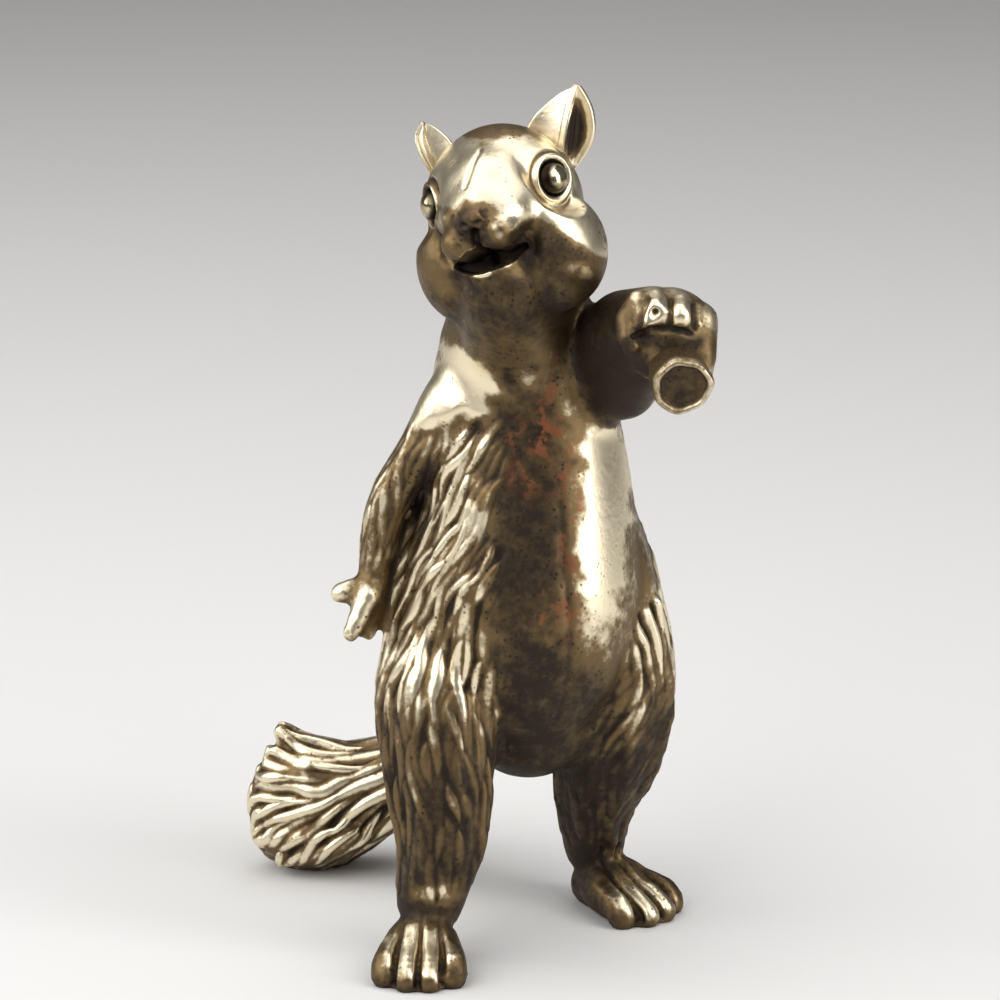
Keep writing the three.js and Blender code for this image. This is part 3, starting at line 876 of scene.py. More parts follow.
@dataclass(frozen=True)
class Dab:
    """A soft patch placed as it lies in the front view: most are painted highlights and painted shade, a
    few are patina and red stains.

    Attributes:
        place: its middle, in millimetres right of and above the middle of the view.
        size: half its width and half its height.
        dark: how much darker it makes the points, as painted shade and in a few places patina; below
            zero, how much painted highlight it lays.
        lean: degrees by which it is turned, anticlockwise.
        rust: how much red stain it adds.
    """

    place: tuple[float, float]
    size: tuple[float, float]
    dark: float
    lean: float = 0.0
    rust: float = 0.0

    def lay(self, view: Array, front: Array, marks: Marks) -> None:
        """Lays the patch on a skin.

        Args:
            view: where the points lie in the front view.
            front: how far each point belongs to the casting and faces the view.
            marks: what is changed.
        """
        angle = math.radians(self.lean)
        right, up = (view - np.array(self.place)).T
        wide = (right * math.cos(angle) + up * math.sin(angle)) / self.size[0]
        tall = (up * math.cos(angle) - right * math.sin(angle)) / self.size[1]
        sway = 1.7 * np.sin(0.9 * up + 0.6 * right)
        uneven = 1.0 + 0.15 * np.sin(1.4 * right + 1.9 * up + sway)
        uneven += 0.08 * np.sin(3.3 * right - 2.3 * up - 2.0 * sway)
        share = (1.0 - smoothstep(0.4, 1.35, uneven * np.hypot(wide, tall))) * front
        marks.patina += self.dark * share
        marks.rust += self.rust * share


# The painted highlight on the shoulder lies over the trunk and the hanging arm.
SHOULDER_PAINTED_HIGHLIGHT = (
    Dab((-2.6, 7.3), (2.7, 2.3), -0.75, 18.0),
    Dab((-5.0, 5.6), (1.2, 1.2), -0.4),
)


@dataclass
class Trunk:
    """The body: a smooth belly and chest, with furry flanks and back."""

    middle: tuple = (1.5, 0.0)
    facing: tuple = (0.342, -0.94)
    waist_slack: float = 0.45
    hips: tuple = (
        ((-3.5, -0.6, 23.5, 3.3), (-4.0, -2.1, 17.5, 3.6)),
        ((6.3, 1.0, 23.8, 3.3), (7.3, 2.3, 17.8, 3.65)),
    )
    # Painted highlights on the shoulder, down the right of the belly and on the chest; painted shade on
    # the belly's middle, the neck, in the armpit, under the shoulder's edge and between the legs; the
    # last five are red stains.
    painted_light_and_stain_dabs: tuple = (
        *SHOULDER_PAINTED_HIGHLIGHT,
        Dab((1.3, -1.5), (3.2, 11.5), 0.48),
        Dab((6.8, 0.5), (1.5, 6.5), -0.5, -3.0),
        Dab((6.1, -5.5), (1.3, 3.6), -0.3, 4.0),
        Dab((1.7, 7.8), (0.9, 0.8), -0.5),
        Dab((0.6, 10.0), (3.6, 2.0), 0.3),
        Dab((-4.9, 0.4), (0.6, 2.6), 0.7, -22.0),
        Dab((-6.3, -3.8), (0.6, 2.8), 0.7, -18.0),
        Dab((2.4, -16.2), (4.2, 1.8), 0.45),
        Dab((3.6, -12.4), (3.4, 3.2), 0.36),
        Dab((-0.9, -1.4), (1.2, 0.9), -0.35),
        Dab((-2.4, 4.7), (1.4, 0.35), 0.35),
        Dab((2.8, 9.6), (0.9, 1.6), 0.0, 0.0, 1.2),
        Dab((3.0, 6.0), (0.6, 2.6), 0.0, 0.0, 0.8),
        Dab((2.6, 3.0), (2.0, 2.6), 0.0, 0.0, 1.2),
        Dab((4.4, -1.3), (0.8, 3.6), 0.0, 0.0, 1.2),
        Dab((3.3, -7.2), (2.0, 1.8), 0.0, 0.0, 1.2),
    )
    cape: tuple = ((-6.4, 3.9), (-3.8, 4.9), (-2.5, 5.4), (-0.9, 4.7), (-0.1, 6.4))
    cape_step: float = 0.24
    middle_line: float = 2.0
    line_depth: float = 0.09
    belly_half: float = 60.0
    fur_edges: tuple = (34.0, 56.0)
    fur_foot: tuple = (11.5, 13.5)
    bare_flank: tuple = (20.5, 25.5)
    bare_flank_turn: float = 34.0

    def turn(self, points: Array) -> Array:
        """Measures the way round the trunk.

        Args:
            points: the points, in rows.

        Returns:
            Degrees from the middle of the belly.
        """
        east = points[..., 0] - self.middle[0]
        north = points[..., 1] - self.middle[1]
        front = east * self.facing[0] + north * self.facing[1]
        side = -east * self.facing[1] + north * self.facing[0]
        return np.degrees(np.arctan2(side, front))

    def _slack(self, place: Vector) -> Vector:
        """Returns how far a point of the flank is drawn in under the hanging arm."""
        turn = float(self.turn(np.array(place)))
        amount = float(bell(turn, -95.0, 45.0) * bell(place.z, 29.0, 3.2)) * self.waist_slack
        return Vector((amount, 0.0, 0.0))

    def press(self, clay: Clay) -> None:
        """Adds the body, and its hips, which the thighs lie over."""
        clay.casting(Cast.TRUNK.value, self._slack)
        clay.bars(self.hips)

    def furry(self, points: Array) -> Array:
        """Finds where the flanks and the back have fur.

        Args:
            points: the points, in rows.

        Returns:
            How furry each point is.
        """
        turn = self.turn(points)
        high = points[:, 2]
        side = np.where(turn < 0.0, -turn, turn)
        right_edge, left_edge = self.fur_edges
        bare = self.bare_flank_turn * smoothstep(*self.bare_flank, high)
        edge = np.where(turn < 0.0, right_edge, left_edge + bare)
        edge = edge + 5.0 * np.sin(0.9 * high + 0.6) + 2.5 * np.sin(2.3 * high)
        belly = smoothstep(-6.0, 6.0, side - edge)
        crown = 32.0 + 2.8 * (turn < 0.0) + 3.0 * smoothstep(70.0, 130.0, side)
        top = 1.0 - smoothstep(-1.2, 1.2, high - crown - 0.6 * np.sin(0.15 * turn))
        return belly * top * smoothstep(*self.fur_foot, high)

    def course(self, place: Array, out: Array) -> Array:
        """Leads the fur of the flanks.

        Args:
            place: a place on the skin.
            out: the outward direction there.

        Returns:
            The way that it runs: down, and away from the belly.
        """
        turn = float(self.turn(place))
        away = np.cross(UP, out) * math.copysign(1.0, turn)
        lean = 0.55 * bell(abs(turn), 60.0, 50.0) + 0.2 * math.sin(0.8 * place[2])
        lean = lean * float(smoothstep(15.0, 25.0, place[2]))
        return away * lean - UP

    def flow(self, points: Array, share: Array) -> Flow:
        """Lays the fur of the flanks and the back.

        Args:
            points: the points, in rows.
            share: how far each point belongs to the casting.

        Returns:
            How the fur lies.
        """
        mask = self.furry(points) * share
        return Flow(
            mask,
            self.course,
            apart=(2.7, 0.57),
            length=(4.0, 8.0),
            width=(0.85, 1.5),
            height=0.48,
            sunk=0.28,
            seed=5,
        )

    def carve(self, points: Array, share: Array) -> Array:
        """Cuts the belly's middle line.

        Args:
            points: the points, in rows.
            share: how far each point belongs to the casting.

        Returns:
            How far each point is moved outwards.
        """
        turn = self.turn(points)
        high = points[:, 2]
        line = bell(turn, self.middle_line + 1.5 * np.sin(0.4 * high), 2.2)
        front = line * (np.abs(turn) < self.belly_half)
        reach = smoothstep(13.0, 16.0, high) * (1.0 - smoothstep(27.0, 32.0, high))
        return -self.line_depth * front * reach * share

    def shoulder(self, points: Array, share: Array) -> Array:
        """Cuts the step at the lower edge of the smooth shoulder.

        Args:
            points: the points, in rows.
            share: how far each point belongs to the casting.

        Returns:
            How far each point is moved outwards.
        """
        edge = np.array(self.cape)
        view = seen(points)
        gap, along = gap_to(view, edge)
        right, up = view.T
        level = np.interp(right, edge[:4, 0], edge[:4, 1])
        level = level + 0.14 * np.sin(2.3 * right)
        over = smoothstep(-0.75, 0.6, up - level)
        close = (1.0 - smoothstep(0.3, 1.6, gap)) * smoothstep(0.0, 0.1, along)
        return -self.cape_step * (1.0 - over) * close * share * (points[:, 1] < 2.0)

    def stain(self, points: Array, share: Array, marks: Marks) -> None:
        """Darkens the middle line, which the patches on it follow."""
        turn, high = self.turn(points), points[:, 2]
        line = bell(turn, self.middle_line, 3.0) * (1.0 - smoothstep(28.0, 33.0, high))
        marks.patina += 0.08 * line * share * (np.abs(turn) < self.belly_half)


@dataclass
class Head:
    """The head: skull, cheeks, muzzle, open mouth and throat, with lidded eye sockets."""

    place: tuple = (0.5, -2.0, 47.5)
    turn: float = -18.0
    lift: float = -15.0
    tilt: float = -13.0
    eye_out: tuple = (0.83, -0.55, -0.04)
    eye_places: tuple = ((-4.05, -2.85, 0.75), (4.08, -2.95, 1.2))
    lid_radius: float = 1.3
    mouth_half: float = 2.3
    mouth_open: float = 0.7
    mouth_back: float = -4.2
    lumps: tuple = (
        ((-0.2, 0.0, 0.1), (4.9, 5.4, 5.3)),
        ((0.0, -3.6, 0.7), (3.2, 3.0, 3.0)),
        ((0.0, -5.4, -1.2), (2.4, 2.6, 1.95)),
        ((0.15, -7.75, -0.9), (0.95, 0.85, 0.75)),
        ((-1.3, -6.95, -2.2), (1.1, 1.4, 1.15)),
        ((1.4, -6.95, -1.8), (1.2, 1.4, 1.0)),
        ((-2.7, -1.5, -3.0), (3.0, 3.7, 3.75)),
        ((3.0, -1.5, -3.0), (3.3, 3.75, 3.75)),
        ((-2.7, -2.8, -1.6), (2.1, 2.2, 2.1)),
        ((3.1, -2.9, -1.6), (2.3, 2.3, 2.2)),
        ((-1.8, -4.2, -0.6), (1.7, 1.9, 1.8)),
        ((2.0, -4.2, -0.4), (2.0, 2.0, 1.9)),
        ((-1.2, -5.5, -0.7), (1.5, 1.9, 1.5)),
        ((1.5, -5.5, -0.6), (1.7, 1.9, 1.5)),
        ((0.0, -6.0, 0.3), (1.6, 1.7, 1.3)),
        ((0.0, -4.15, -4.45), (2.1, 2.1, 1.2)),
        ((0.0, -1.8, -4.6), (3.8, 3.5, 2.7)),
    )
    chin: tuple = (0.0, -2.9, -5.0)
    chin_radius: float = 3.0
    gullet: tuple = (1.3, -1.7, 38.5, 3.7)
    nape: tuple = (0.0, 1.2, -3.0)
    nape_radius: float = 4.2
    neck: tuple = (1.0, -0.2, 39.0, 4.5)
    brow_crease: tuple = ((0.1, 3.4), (-0.15, 2.3), (-0.45, 1.2))
    cleft: tuple = ((0.05, -1.75), (0.0, -2.6), (0.0, -3.3))
    nostril: tuple = ((0.4, -1.35), (0.62, -1.2))
    wing: tuple = ((0.85, -0.5), (1.05, -1.15), (0.6, -1.7), (0.0, -1.8))
    right_fold: tuple = (
        (-2.9, -5.0, -0.9),
        (-2.8, -5.3, -2.6),
        (-2.1, -5.7, -3.9),
        (-1.4, -5.6, -4.8),
    )
    left_fold: tuple = ((3.1, -4.9, -1.2), (2.9, -5.3, -2.6), (2.9, -5.2, -4.3))
    mouth_corner: tuple = (2.65, -2.8)
    corner_size: tuple = (0.45, 0.75)
    front_face: float = -3.6
    eye_reach: float = 2.0
    lip_height: float = 0.22
    cleft_depth: float = 0.45
    brow_depth: float = 0.1
    fold_depths: tuple = (0.3, 0.2)
    corner_depth: float = 0.5
    nostril_depth: float = 0.3
    wing_depth: float = 0.17
    lid_height: float = 0.24
    moat_depth: float = 0.12
    socket_depth: float = 0.6
    # Painted shade in the mouth, the brow line, the cleft, the folds and the rings round the eyes.
    mouth_painted_shade: float = 0.9
    brow_painted_shade: float = 0.26
    cleft_painted_shade: float = 0.5
    fold_painted_shades: tuple = (0.25, 0.2)
    ring_painted_shades: tuple = (0.95, 0.6)
    # The head's patches: painted highlights on the forehead, along the cheek and on the lower lip, and
    # painted shade under the cheek, on the throat, round the mouth and down the left of the face, with a
    # dark patina patch over the nose.
    painted_light_and_stain_dabs: tuple = (
        Dab((1.6, 19.9), (3.7, 2.9), -0.6),
        Dab((-2.8, 20.6), (1.5, 2.3), -0.75),
        Dab((4.7, 17.3), (2.6, 1.1), -0.5, -38.0),
        Dab((-1.7, 17.4), (1.7, 1.6), 0.6),
        Dab((3.6, 15.3), (3.0, 1.6), 0.42, -30.0),
        Dab((5.1, 14.4), (1.1, 0.6), -0.5, -25.0),
        Dab((0.3, 12.3), (4.8, 2.6), 0.34),
        Dab((-4.6, 14.8), (1.2, 2.2), 0.16),
        Dab((-5.0, 19.3), (0.7, 2.8), 0.25),
        Dab((-0.6, 23.6), (3.8, 0.8), 0.36),
        Dab((-2.4, 14.0), (0.9, 1.1), 0.22, 30.0),
        Dab((1.6, 15.5), (0.7, 0.9), 0.5),
        Dab((-1.0, 14.2), (0.6, 0.25), -0.5, 5.0),
        Dab((0.5, 14.9), (0.35, 0.3), -0.4, 30.0),
    )

    @property
    def pose(self) -> Matrix:
        """Finds where the head stands on the figure.

        Returns:
            The head's own frame.
        """
        spin = Matrix.Rotation(math.radians(self.turn), 4, "Z")
        nod = Matrix.Rotation(math.radians(self.lift), 4, "X")
        roll = Matrix.Rotation(math.radians(self.tilt), 4, "Y")
        return Matrix.Translation(self.place) @ spin @ nod @ roll

    def local(self, points: Array) -> Array:
        """Returns points of the figure in the head's own frame."""
        back = np.array(self.pose.inverted())
        return points @ back[:3, :3].T + back[:3, 3]

    def press(self, clay: Clay) -> None:
        """Adds the head's lumps, its throat and its nape.

        Args:
            clay: what the lumps are pressed into.
        """
        pose = self.pose
        for middle, radii in self.lumps:
            clay.egg(middle, radii, pose)
        throat = ((*(pose @ Vector(self.chin)), self.chin_radius), self.gullet)
        back = ((*(pose @ Vector(self.nape)), self.nape_radius), self.neck)
        clay.bars((throat, back))

    def face(self, points: Array) -> Array:
        """Returns which points belong to the front of the head, which is carved finest."""
        q = self.local(points)
        high = (q[:, 2] > -5.6) & (q[:, 2] < 3.4)
        return (q[:, 1] < -1.7) & high & (np.abs(q[:, 0]) < 5.7)

    def brow(self, points: Array) -> Array:
        """Returns how far points lie on the smooth forehead, above the nose."""
        q = self.local(points)
        return smoothstep(-0.5, 0.5, q[:, 2]) * smoothstep(-1.5, -3.0, q[:, 1])

    def eye_frame(self, side: Side) -> tuple[Array, Array]:
        """Finds where an eye sits.

        Args:
            side: the eye's side.

        Returns:
            Its middle, and its across, up and outward directions in rows.
        """
        out = unit(np.array(self.eye_out)) * np.array([side.value, 1.0, 1.0])
        across = unit(np.cross(UP, out))
        middle = np.array(self.eye_places[side is Side.LEFT])
        return middle, np.stack([across, np.cross(out, across), out])

    def carve(self, skin: Skin, share: Array) -> None:
        """Cuts the mouth, the lips, the nose, the brow line and the eyelids.

        Args:
            skin: the skin, which is changed.
            share: how far each point belongs to the casting.
        """
        chosen = np.flatnonzero(share > 0.5)
        q = self.local(skin.points[chosen])
        front = q[:, 1] < -2.5
        line = self._mouth_line(q[:, 0])
        wide = np.clip(1.0 - (q[:, 0] / self.mouth_half) ** 2, 0.0, 1.0) ** 0.6
        open_half = np.maximum(self.mouth_open * wide, 1e-3)
        lobe = 0.3 * bell(np.abs(q[:, 0]), 1.25, 0.45) * (q[:, 2] > line)
        level = (q[:, 2] - line) / np.maximum(open_half - lobe, 1e-3)
        inside = (1.0 - smoothstep(0.72, 1.05, np.abs(level))) * (wide > 0.02) * front
        q[:, 1] += inside * np.maximum(self.mouth_back - q[:, 1], 0.0)
        for side in Side:
            q = self._seat(q, side)
        moved = q @ np.array(self.pose)[:3, :3].T + np.array(self.pose)[:3, 3]
        skin.points[chosen] = moved
        below = q[:, 2] - line + open_half
        rise = self.lip_height * bell(below, -0.16, 0.16) * bell(q[:, 0], 0.0, 1.5) * front
        rise -= self.cleft_depth * self._drawn(q, self.cleft, 0.2)
        rise -= self.brow_depth * self._drawn(q, self.brow_crease, 0.16)
        rise -= self.fold_depths[0] * self._line(q, self.right_fold, 0.34) * front
        rise -= self.fold_depths[1] * self._line(q, self.left_fold, 0.45) * front
        corner = (q[:, [0, 2]] - np.array(self.mouth_corner)) / np.array(self.corner_size)
        rise -= self.corner_depth * bell(np.hypot(*corner.T), 0.0, 0.9) * front
        for side in Side:
            nostril = [(side.value * x, z) for x, z in self.nostril]
            wing = [(side.value * x, z) for x, z in self.wing]
            rise -= self.nostril_depth * self._drawn(q, nostril, 0.17)
            rise -= self.wing_depth * self._drawn(q, wing, 0.15)
            rise += self._lids(q, side)
        amount = np.zeros(len(skin.points))
        amount[chosen] = rise
        skin.push(amount)

    @staticmethod
    def _line(points: Array, path: Sequence[Sequence[float]], width: float) -> Array:
        """Returns 1 along a path, falling off over the width."""
        return bell(gap_to(points, np.array(path))[0], 0.0, width)

    def _drawn(self, points: Array, path: Sequence[Sequence[float]], width: float) -> Array:
        """Returns 1 along a path that is drawn on the face from in front of it."""
        return self._line(points[:, [0, 2]], path, width) * (points[:, 1] < self.front_face)

    @staticmethod
    def _mouth_line(right: Array) -> Array:
        """Returns the height of the mouth's middle, which rises to the left cheek."""
        return -3.38 + 0.12 * right + 0.06 * right**2

    def _seat(self, points: Array, side: Side) -> Array:
        """Draws the skin round an eye to a low dome.

        Args:
            points: points in the head's frame.
            side: the eye's side.

        Returns:
            The moved points.
        """
        middle, axes = self.eye_frame(side)
        a, b, c = ((points - middle) @ axes.T).T
        reach = np.hypot(a, b)
        near = (1.0 - smoothstep(1.35, 2.7, reach)) * (np.abs(c) < self.eye_reach)
        return points + (near * (-0.1 * reach**2 - c))[:, None] * axes[2]

    def _lids(self, points: Array, side: Side) -> Array:
        """Shapes an eye's socket and its lids.

        Args:
            points: points in the head's frame.
            side: the eye's side.

        Returns:
            How far each point is moved outwards.
        """
        middle, axes = self.eye_frame(side)
        a, b, c = ((points - middle) @ axes.T).T
        reach = np.hypot(a, b * 0.96)
        close = np.abs(c) < self.eye_reach
        lid = self.lid_height * bell(reach, self.lid_radius, 0.17)
        lid = lid * (0.8 + 0.2 * smoothstep(-0.6, 0.6, b))
        moat = self.moat_depth * bell(reach, self.lid_radius + 0.32, 0.12)
        socket = self.socket_depth * (1.0 - smoothstep(0.95, 1.12, reach))
        return (lid - moat - socket) * close

    def stain(self, points: Array, share: Array, marks: Marks) -> None:
        """Darkens the mouth, the brow line, the cleft, the folds of the face and the rings of the eyes
        with painted shade.

        Args:
            points: the points, in rows.
            share: how far each point belongs to the casting.
            marks: what is changed.
        """
        q = self.local(points)
        level = q[:, 2] - self._mouth_line(q[:, 0])
        mouth = (np.abs(q[:, 0]) < 2.4) * bell(level, 0.0, 0.6) * (q[:, 1] < -3.5)
        dark = self.mouth_painted_shade * mouth * smoothstep(-6.7, -5.5, q[:, 1])
        dark += self.brow_painted_shade * self._drawn(q, self.brow_crease, 0.16)
        dark += self.cleft_painted_shade * self._drawn(q, (self.cleft[0], self.cleft[-1]), 0.2)
        dark += self.fold_painted_shades[0] * self._line(q, self.right_fold, 0.5)
        dark += self.fold_painted_shades[1] * self._line(q, self.left_fold, 0.6)
        inner, outer = self.ring_painted_shades
        for side in Side:
            middle, axes = self.eye_frame(side)
            a, b, c = ((q - middle) @ axes.T).T
            reach = np.hypot(a, b)
            rings = inner * bell(reach, 1.02, 0.17) + outer * bell(reach, 1.62, 0.13)
            dark += rings * (np.abs(c) < 2.2)
        marks.patina += dark * share


@dataclass
class Ear:
    """A leaf-shaped ear: a smooth inner face, a ridge, and a hollow outer panel with a rim."""

    side: Side
    name: str
    back_edge: tuple
    ridge: tuple
    rim: tuple
    shade: float = 0.95
    thickness: float = 0.42
    fold: float = -0.2
    tip_start: float = 0.74

    def build(self, pose: Matrix, finish: bpy.types.Material) -> bpy.types.Object:
        """Makes the ear on a head.

        Args:
            pose: where the head stands.
            finish: the casting's finish.

        Returns:
            The ear's piece.
        """
        bm = bmesh.new()
        bmesh.ops.create_grid(bm, x_segments=64, y_segments=40, size=1.0)
        self._lay(bm)
        bmesh.ops.remove_doubles(bm, verts=bm.verts, dist=0.004)
        bmesh.ops.recalc_face_normals(bm, faces=bm.faces)
        if sum(face.normal.y for face in bm.faces) > 0.0:
            bmesh.ops.reverse_faces(bm, faces=bm.faces)
        self._thicken(bm)
        for _ in range(3):
            bmesh.ops.smooth_vert(
                bm, verts=bm.verts, factor=0.4, use_axis_x=True, use_axis_y=True, use_axis_z=True
            )
        if self.side is Side.RIGHT:
            bmesh.ops.scale(bm, vec=(-1.0, 1.0, 1.0), verts=bm.verts)
        bmesh.ops.recalc_face_normals(bm, faces=bm.faces)
        bmesh.ops.transform(bm, matrix=pose, verts=bm.verts)
        return finished(bm, f"{self.name}_leaf", [self.name], finish)

    def _thicken(self, bm: bmesh.types.BMesh) -> None:
        """Gives the sheet a back, a wall's thickness behind its face.

        Args:
            bm: the sheet, which is changed.
        """
        bm.normal_update()
        wall = bm.verts.layers.float["wall"]
        facing = {tuple(vert.co): vert.normal.copy() for vert in bm.verts}
        grown = bmesh.ops.extrude_face_region(bm, geom=bm.faces[:], use_keep_orig=True)["geom"]
        for item in grown:
            if isinstance(item, bmesh.types.BMVert):
                item.co -= facing[tuple(item.co)] * item[wall]
        bm.verts.layers.float.remove(wall)

    def _lay(self, bm: bmesh.types.BMesh) -> None:
        """Bends a flat grid over the ear's edges and its ridge.

        Args:
            bm: the grid, which is changed.
        """
        flat = np.array([vert.co for vert in bm.verts])
        share = 0.5 + 0.5 * flat[:, 1]
        across = flat[:, 0]
        back, ridge, rim = (through(c, share) for c in (self.back_edge, self.ridge, self.rim))
        inner = np.clip((across + 1.0) / (1.0 + self.fold), 0.0, 1.0)[:, None]
        lateral = np.clip((across - self.fold) / (1.0 - self.fold), 0.0, 1.0)[:, None]
        smooth = across[:, None] < self.fold
        place = np.where(smooth, back + (ridge - back) * inner, ridge + (rim - ridge) * lateral)
        taper = np.sin(np.pi * np.clip(0.04 + 0.92 * share, 0.0, 1.0) ** 0.8)
        hollow = np.sin(np.pi * lateral[:, 0]) ** 0.6 * taper
        dish = np.sin(np.pi * inner[:, 0]) * taper * smooth[:, 0] * (1.0 - share)
        ribs = np.sin(26.0 * lateral[:, 0] + 7.0 * share)
        hatch = 0.05 * ribs * hollow * smoothstep(0.9, 0.6, share)
        place = place + np.array([-0.75, 0.65, 0.0]) * (0.7 * hollow + hatch)[:, None]
        place = place + np.array([0.1, 0.45, -0.3]) * (0.5 * dish)[:, None]
        tip = np.clip((share - self.tip_start) / (1.0 - self.tip_start), 0.0, 1.0)
        place = ridge + (place - ridge) * np.sqrt(1.0 - tip**2)[:, None]
        for name in ("patina", "wall"):
            bm.verts.layers.float.new(name)
        layer, wall = (bm.verts.layers.float[name] for name in ("patina", "wall"))
        # Painted shade in the hollow panel, as much as the ear's shade.
        panel = smoothstep(0.3, 0.9, hollow) * smoothstep(0.02, 0.12, lateral[:, 0])
        slim = self.thickness * np.sqrt(1.0 - 0.9 * tip**2)
        for vert, row, dark, thick in zip(bm.verts, place, 0.05 + self.shade * panel, slim):
            vert.co = row
            vert[layer] = dark
            vert[wall] = thick


EARS = (
    Ear(
        Side.RIGHT,
        "right_ear",
        ((0.0, 2.9, 1.0, 3.9), (0.4, 3.5, 0.9, 5.2), (0.7, 4.2, 0.75, 5.95), (1.0, 4.9, 0.6, 6.4)),
        ((0.0, 4.8, 0.5, 2.7), (0.4, 5.35, 0.15, 4.4), (0.7, 5.45, 0.25, 5.5), (1.0, 4.95, 0.6, 6.42)),
        ((0.0, 5.0, 1.5, 2.6), (0.4, 5.4, 1.5, 4.1), (0.7, 5.4, 1.2, 5.3), (1.0, 5.0, 0.62, 6.4)),
        0.15,
    ),
    Ear(
        Side.LEFT,
        "left_ear",
        ((0.0, 1.5, 0.7, 4.8), (0.4, 2.6, 0.4, 5.8), (0.7, 4.0, 0.42, 6.6), (1.0, 5.2, 0.6, 7.02)),
        ((0.0, 3.8, 0.4, 2.7), (0.4, 4.45, 0.2, 4.6), (0.7, 4.95, 0.3, 5.95), (1.0, 5.34, 0.6, 7.04)),
        ((0.0, 4.0, 2.2, 2.0), (0.4, 5.5, 1.7, 3.8), (0.7, 5.76, 1.3, 5.2), (1.0, 5.5, 0.66, 6.98)),
    ),
)


@dataclass
class Eye:
    """A polished bead in a lidded socket."""

    side: Side
    name: str
    radii: tuple = (1.08, 0.98, 0.8)
    proud: float = -0.22
    painted_highlight_spot: tuple = (0.14, 0.06)
    painted_highlight_edge: tuple = (0.55, 0.85)

    def build(self, head: Head, finish: bpy.types.Material) -> bpy.types.Object:
        """Makes the eye on a head.

        Args:
            head: the head.
            finish: the finish.

        Returns:
            The eye's piece.
        """
        middle, axes = head.eye_frame(self.side)
        turn = Matrix(axes.T.tolist()).to_4x4()
        place = Matrix.Translation(middle + axes[2] * self.proud)
        matrix = head.pose @ place @ turn @ Matrix.Diagonal((*self.radii, 1.0))
        bm = bmesh.new()
        bmesh.ops.create_uvsphere(bm, u_segments=48, v_segments=32, radius=1.0)
        layer = bm.verts.layers.float.new("patina")
        # A painted highlight: the bead stays bright round one spot and is painted dark towards its
        # edges, a painted dark reflection.
        for vert in bm.verts:
            reach = (vert.co.xy - Vector(self.painted_highlight_spot)).length
            vert[layer] = float(smoothstep(*self.painted_highlight_edge, reach))
        bmesh.ops.transform(bm, matrix=matrix, verts=bm.verts)
        bmesh.ops.recalc_face_normals(bm, faces=bm.faces)
        return finished(bm, f"{self.name}_bead", [self.name], finish)


@dataclass
class HangingArm:
    """The right arm, hanging down, with an open paw."""

    palm: tuple = (-8.15, -2.7, 23.5)
    palm_radii: tuple = (0.95, 0.95, 1.2)
    clearance: float = 0.3
    digits: tuple = (
        ((-8.3, -3.0, 23.1, 0.62), (-8.9, -3.2, 21.8, 0.58), (-9.4, -3.2, 20.5, 0.46)),
        ((-7.8, -2.8, 23.1, 0.66), (-7.85, -3.0, 22.0, 0.6), (-7.95, -3.0, 21.1, 0.42)),
        ((-8.2, -2.0, 22.8, 0.62), (-8.5, -1.9, 21.3, 0.56), (-8.75, -1.9, 20.0, 0.44)),
        ((-8.6, -2.8, 23.5, 0.6), (-9.4, -3.0, 23.4, 0.66), (-10.1, -3.2, 23.15, 0.56)),
    )
    # Painted highlight on the shoulder and faint ones on the paw; painted shadow in the armpit and down
    # the upper arm.
    painted_light_and_stain_dabs: tuple = (
        *SHOULDER_PAINTED_HIGHLIGHT,
        Dab((-6.0, 0.5), (1.3, 4.2), 0.28, -18.0),
        Dab((-9.0, -7.0), (1.3, 1.7), -0.12),
        Dab((-10.0, -5.8), (0.9, 0.6), -0.08),
        Dab((-4.9, 0.4), (0.6, 2.6), 0.6, -22.0),
        Dab((-6.3, -3.8), (0.5, 2.8), 0.5, -18.0),
    )

    def _clear(self, place: Vector) -> Vector:
        """Returns how far the forearm is drawn away from the flank."""
        return Vector((-self.clearance * float(bell(place.z, 28.0, 3.0)), 0.0, 0.0))

    def press(self, clay: Clay) -> None:
        """Adds the arm, its palm and its digits.

        Args:
            clay: what the lumps are pressed into.
        """
        clay.casting(Cast.RIGHT_ARM.value, self._clear)
        clay.egg(self.palm, self.palm_radii, Matrix())
        clay.bars(self.digits)

    def course(self, place: Array, out: Array) -> Array:
        """Returns the way that the arm's short fur runs."""
        return np.array([-0.25, 0.0, -1.0])

    def flow(self, points: Array, share: Array) -> Flow:
        """Lays the short fur of the arm.

        Args:
            points: the points, in rows.
            share: how far each point belongs to the casting.

        Returns:
            How the fur lies.
        """
        high = points[:, 2]
        mask = share * smoothstep(24.5, 26.0, high) * (1.0 - smoothstep(33.0, 34.5, high))
        return Flow(
            mask,
            self.course,
            apart=(2.2, 0.42),
            length=(2.5, 4.5),
            width=(0.5, 0.8),
            height=0.09,
            sunk=0.05,
            seed=71,
        )


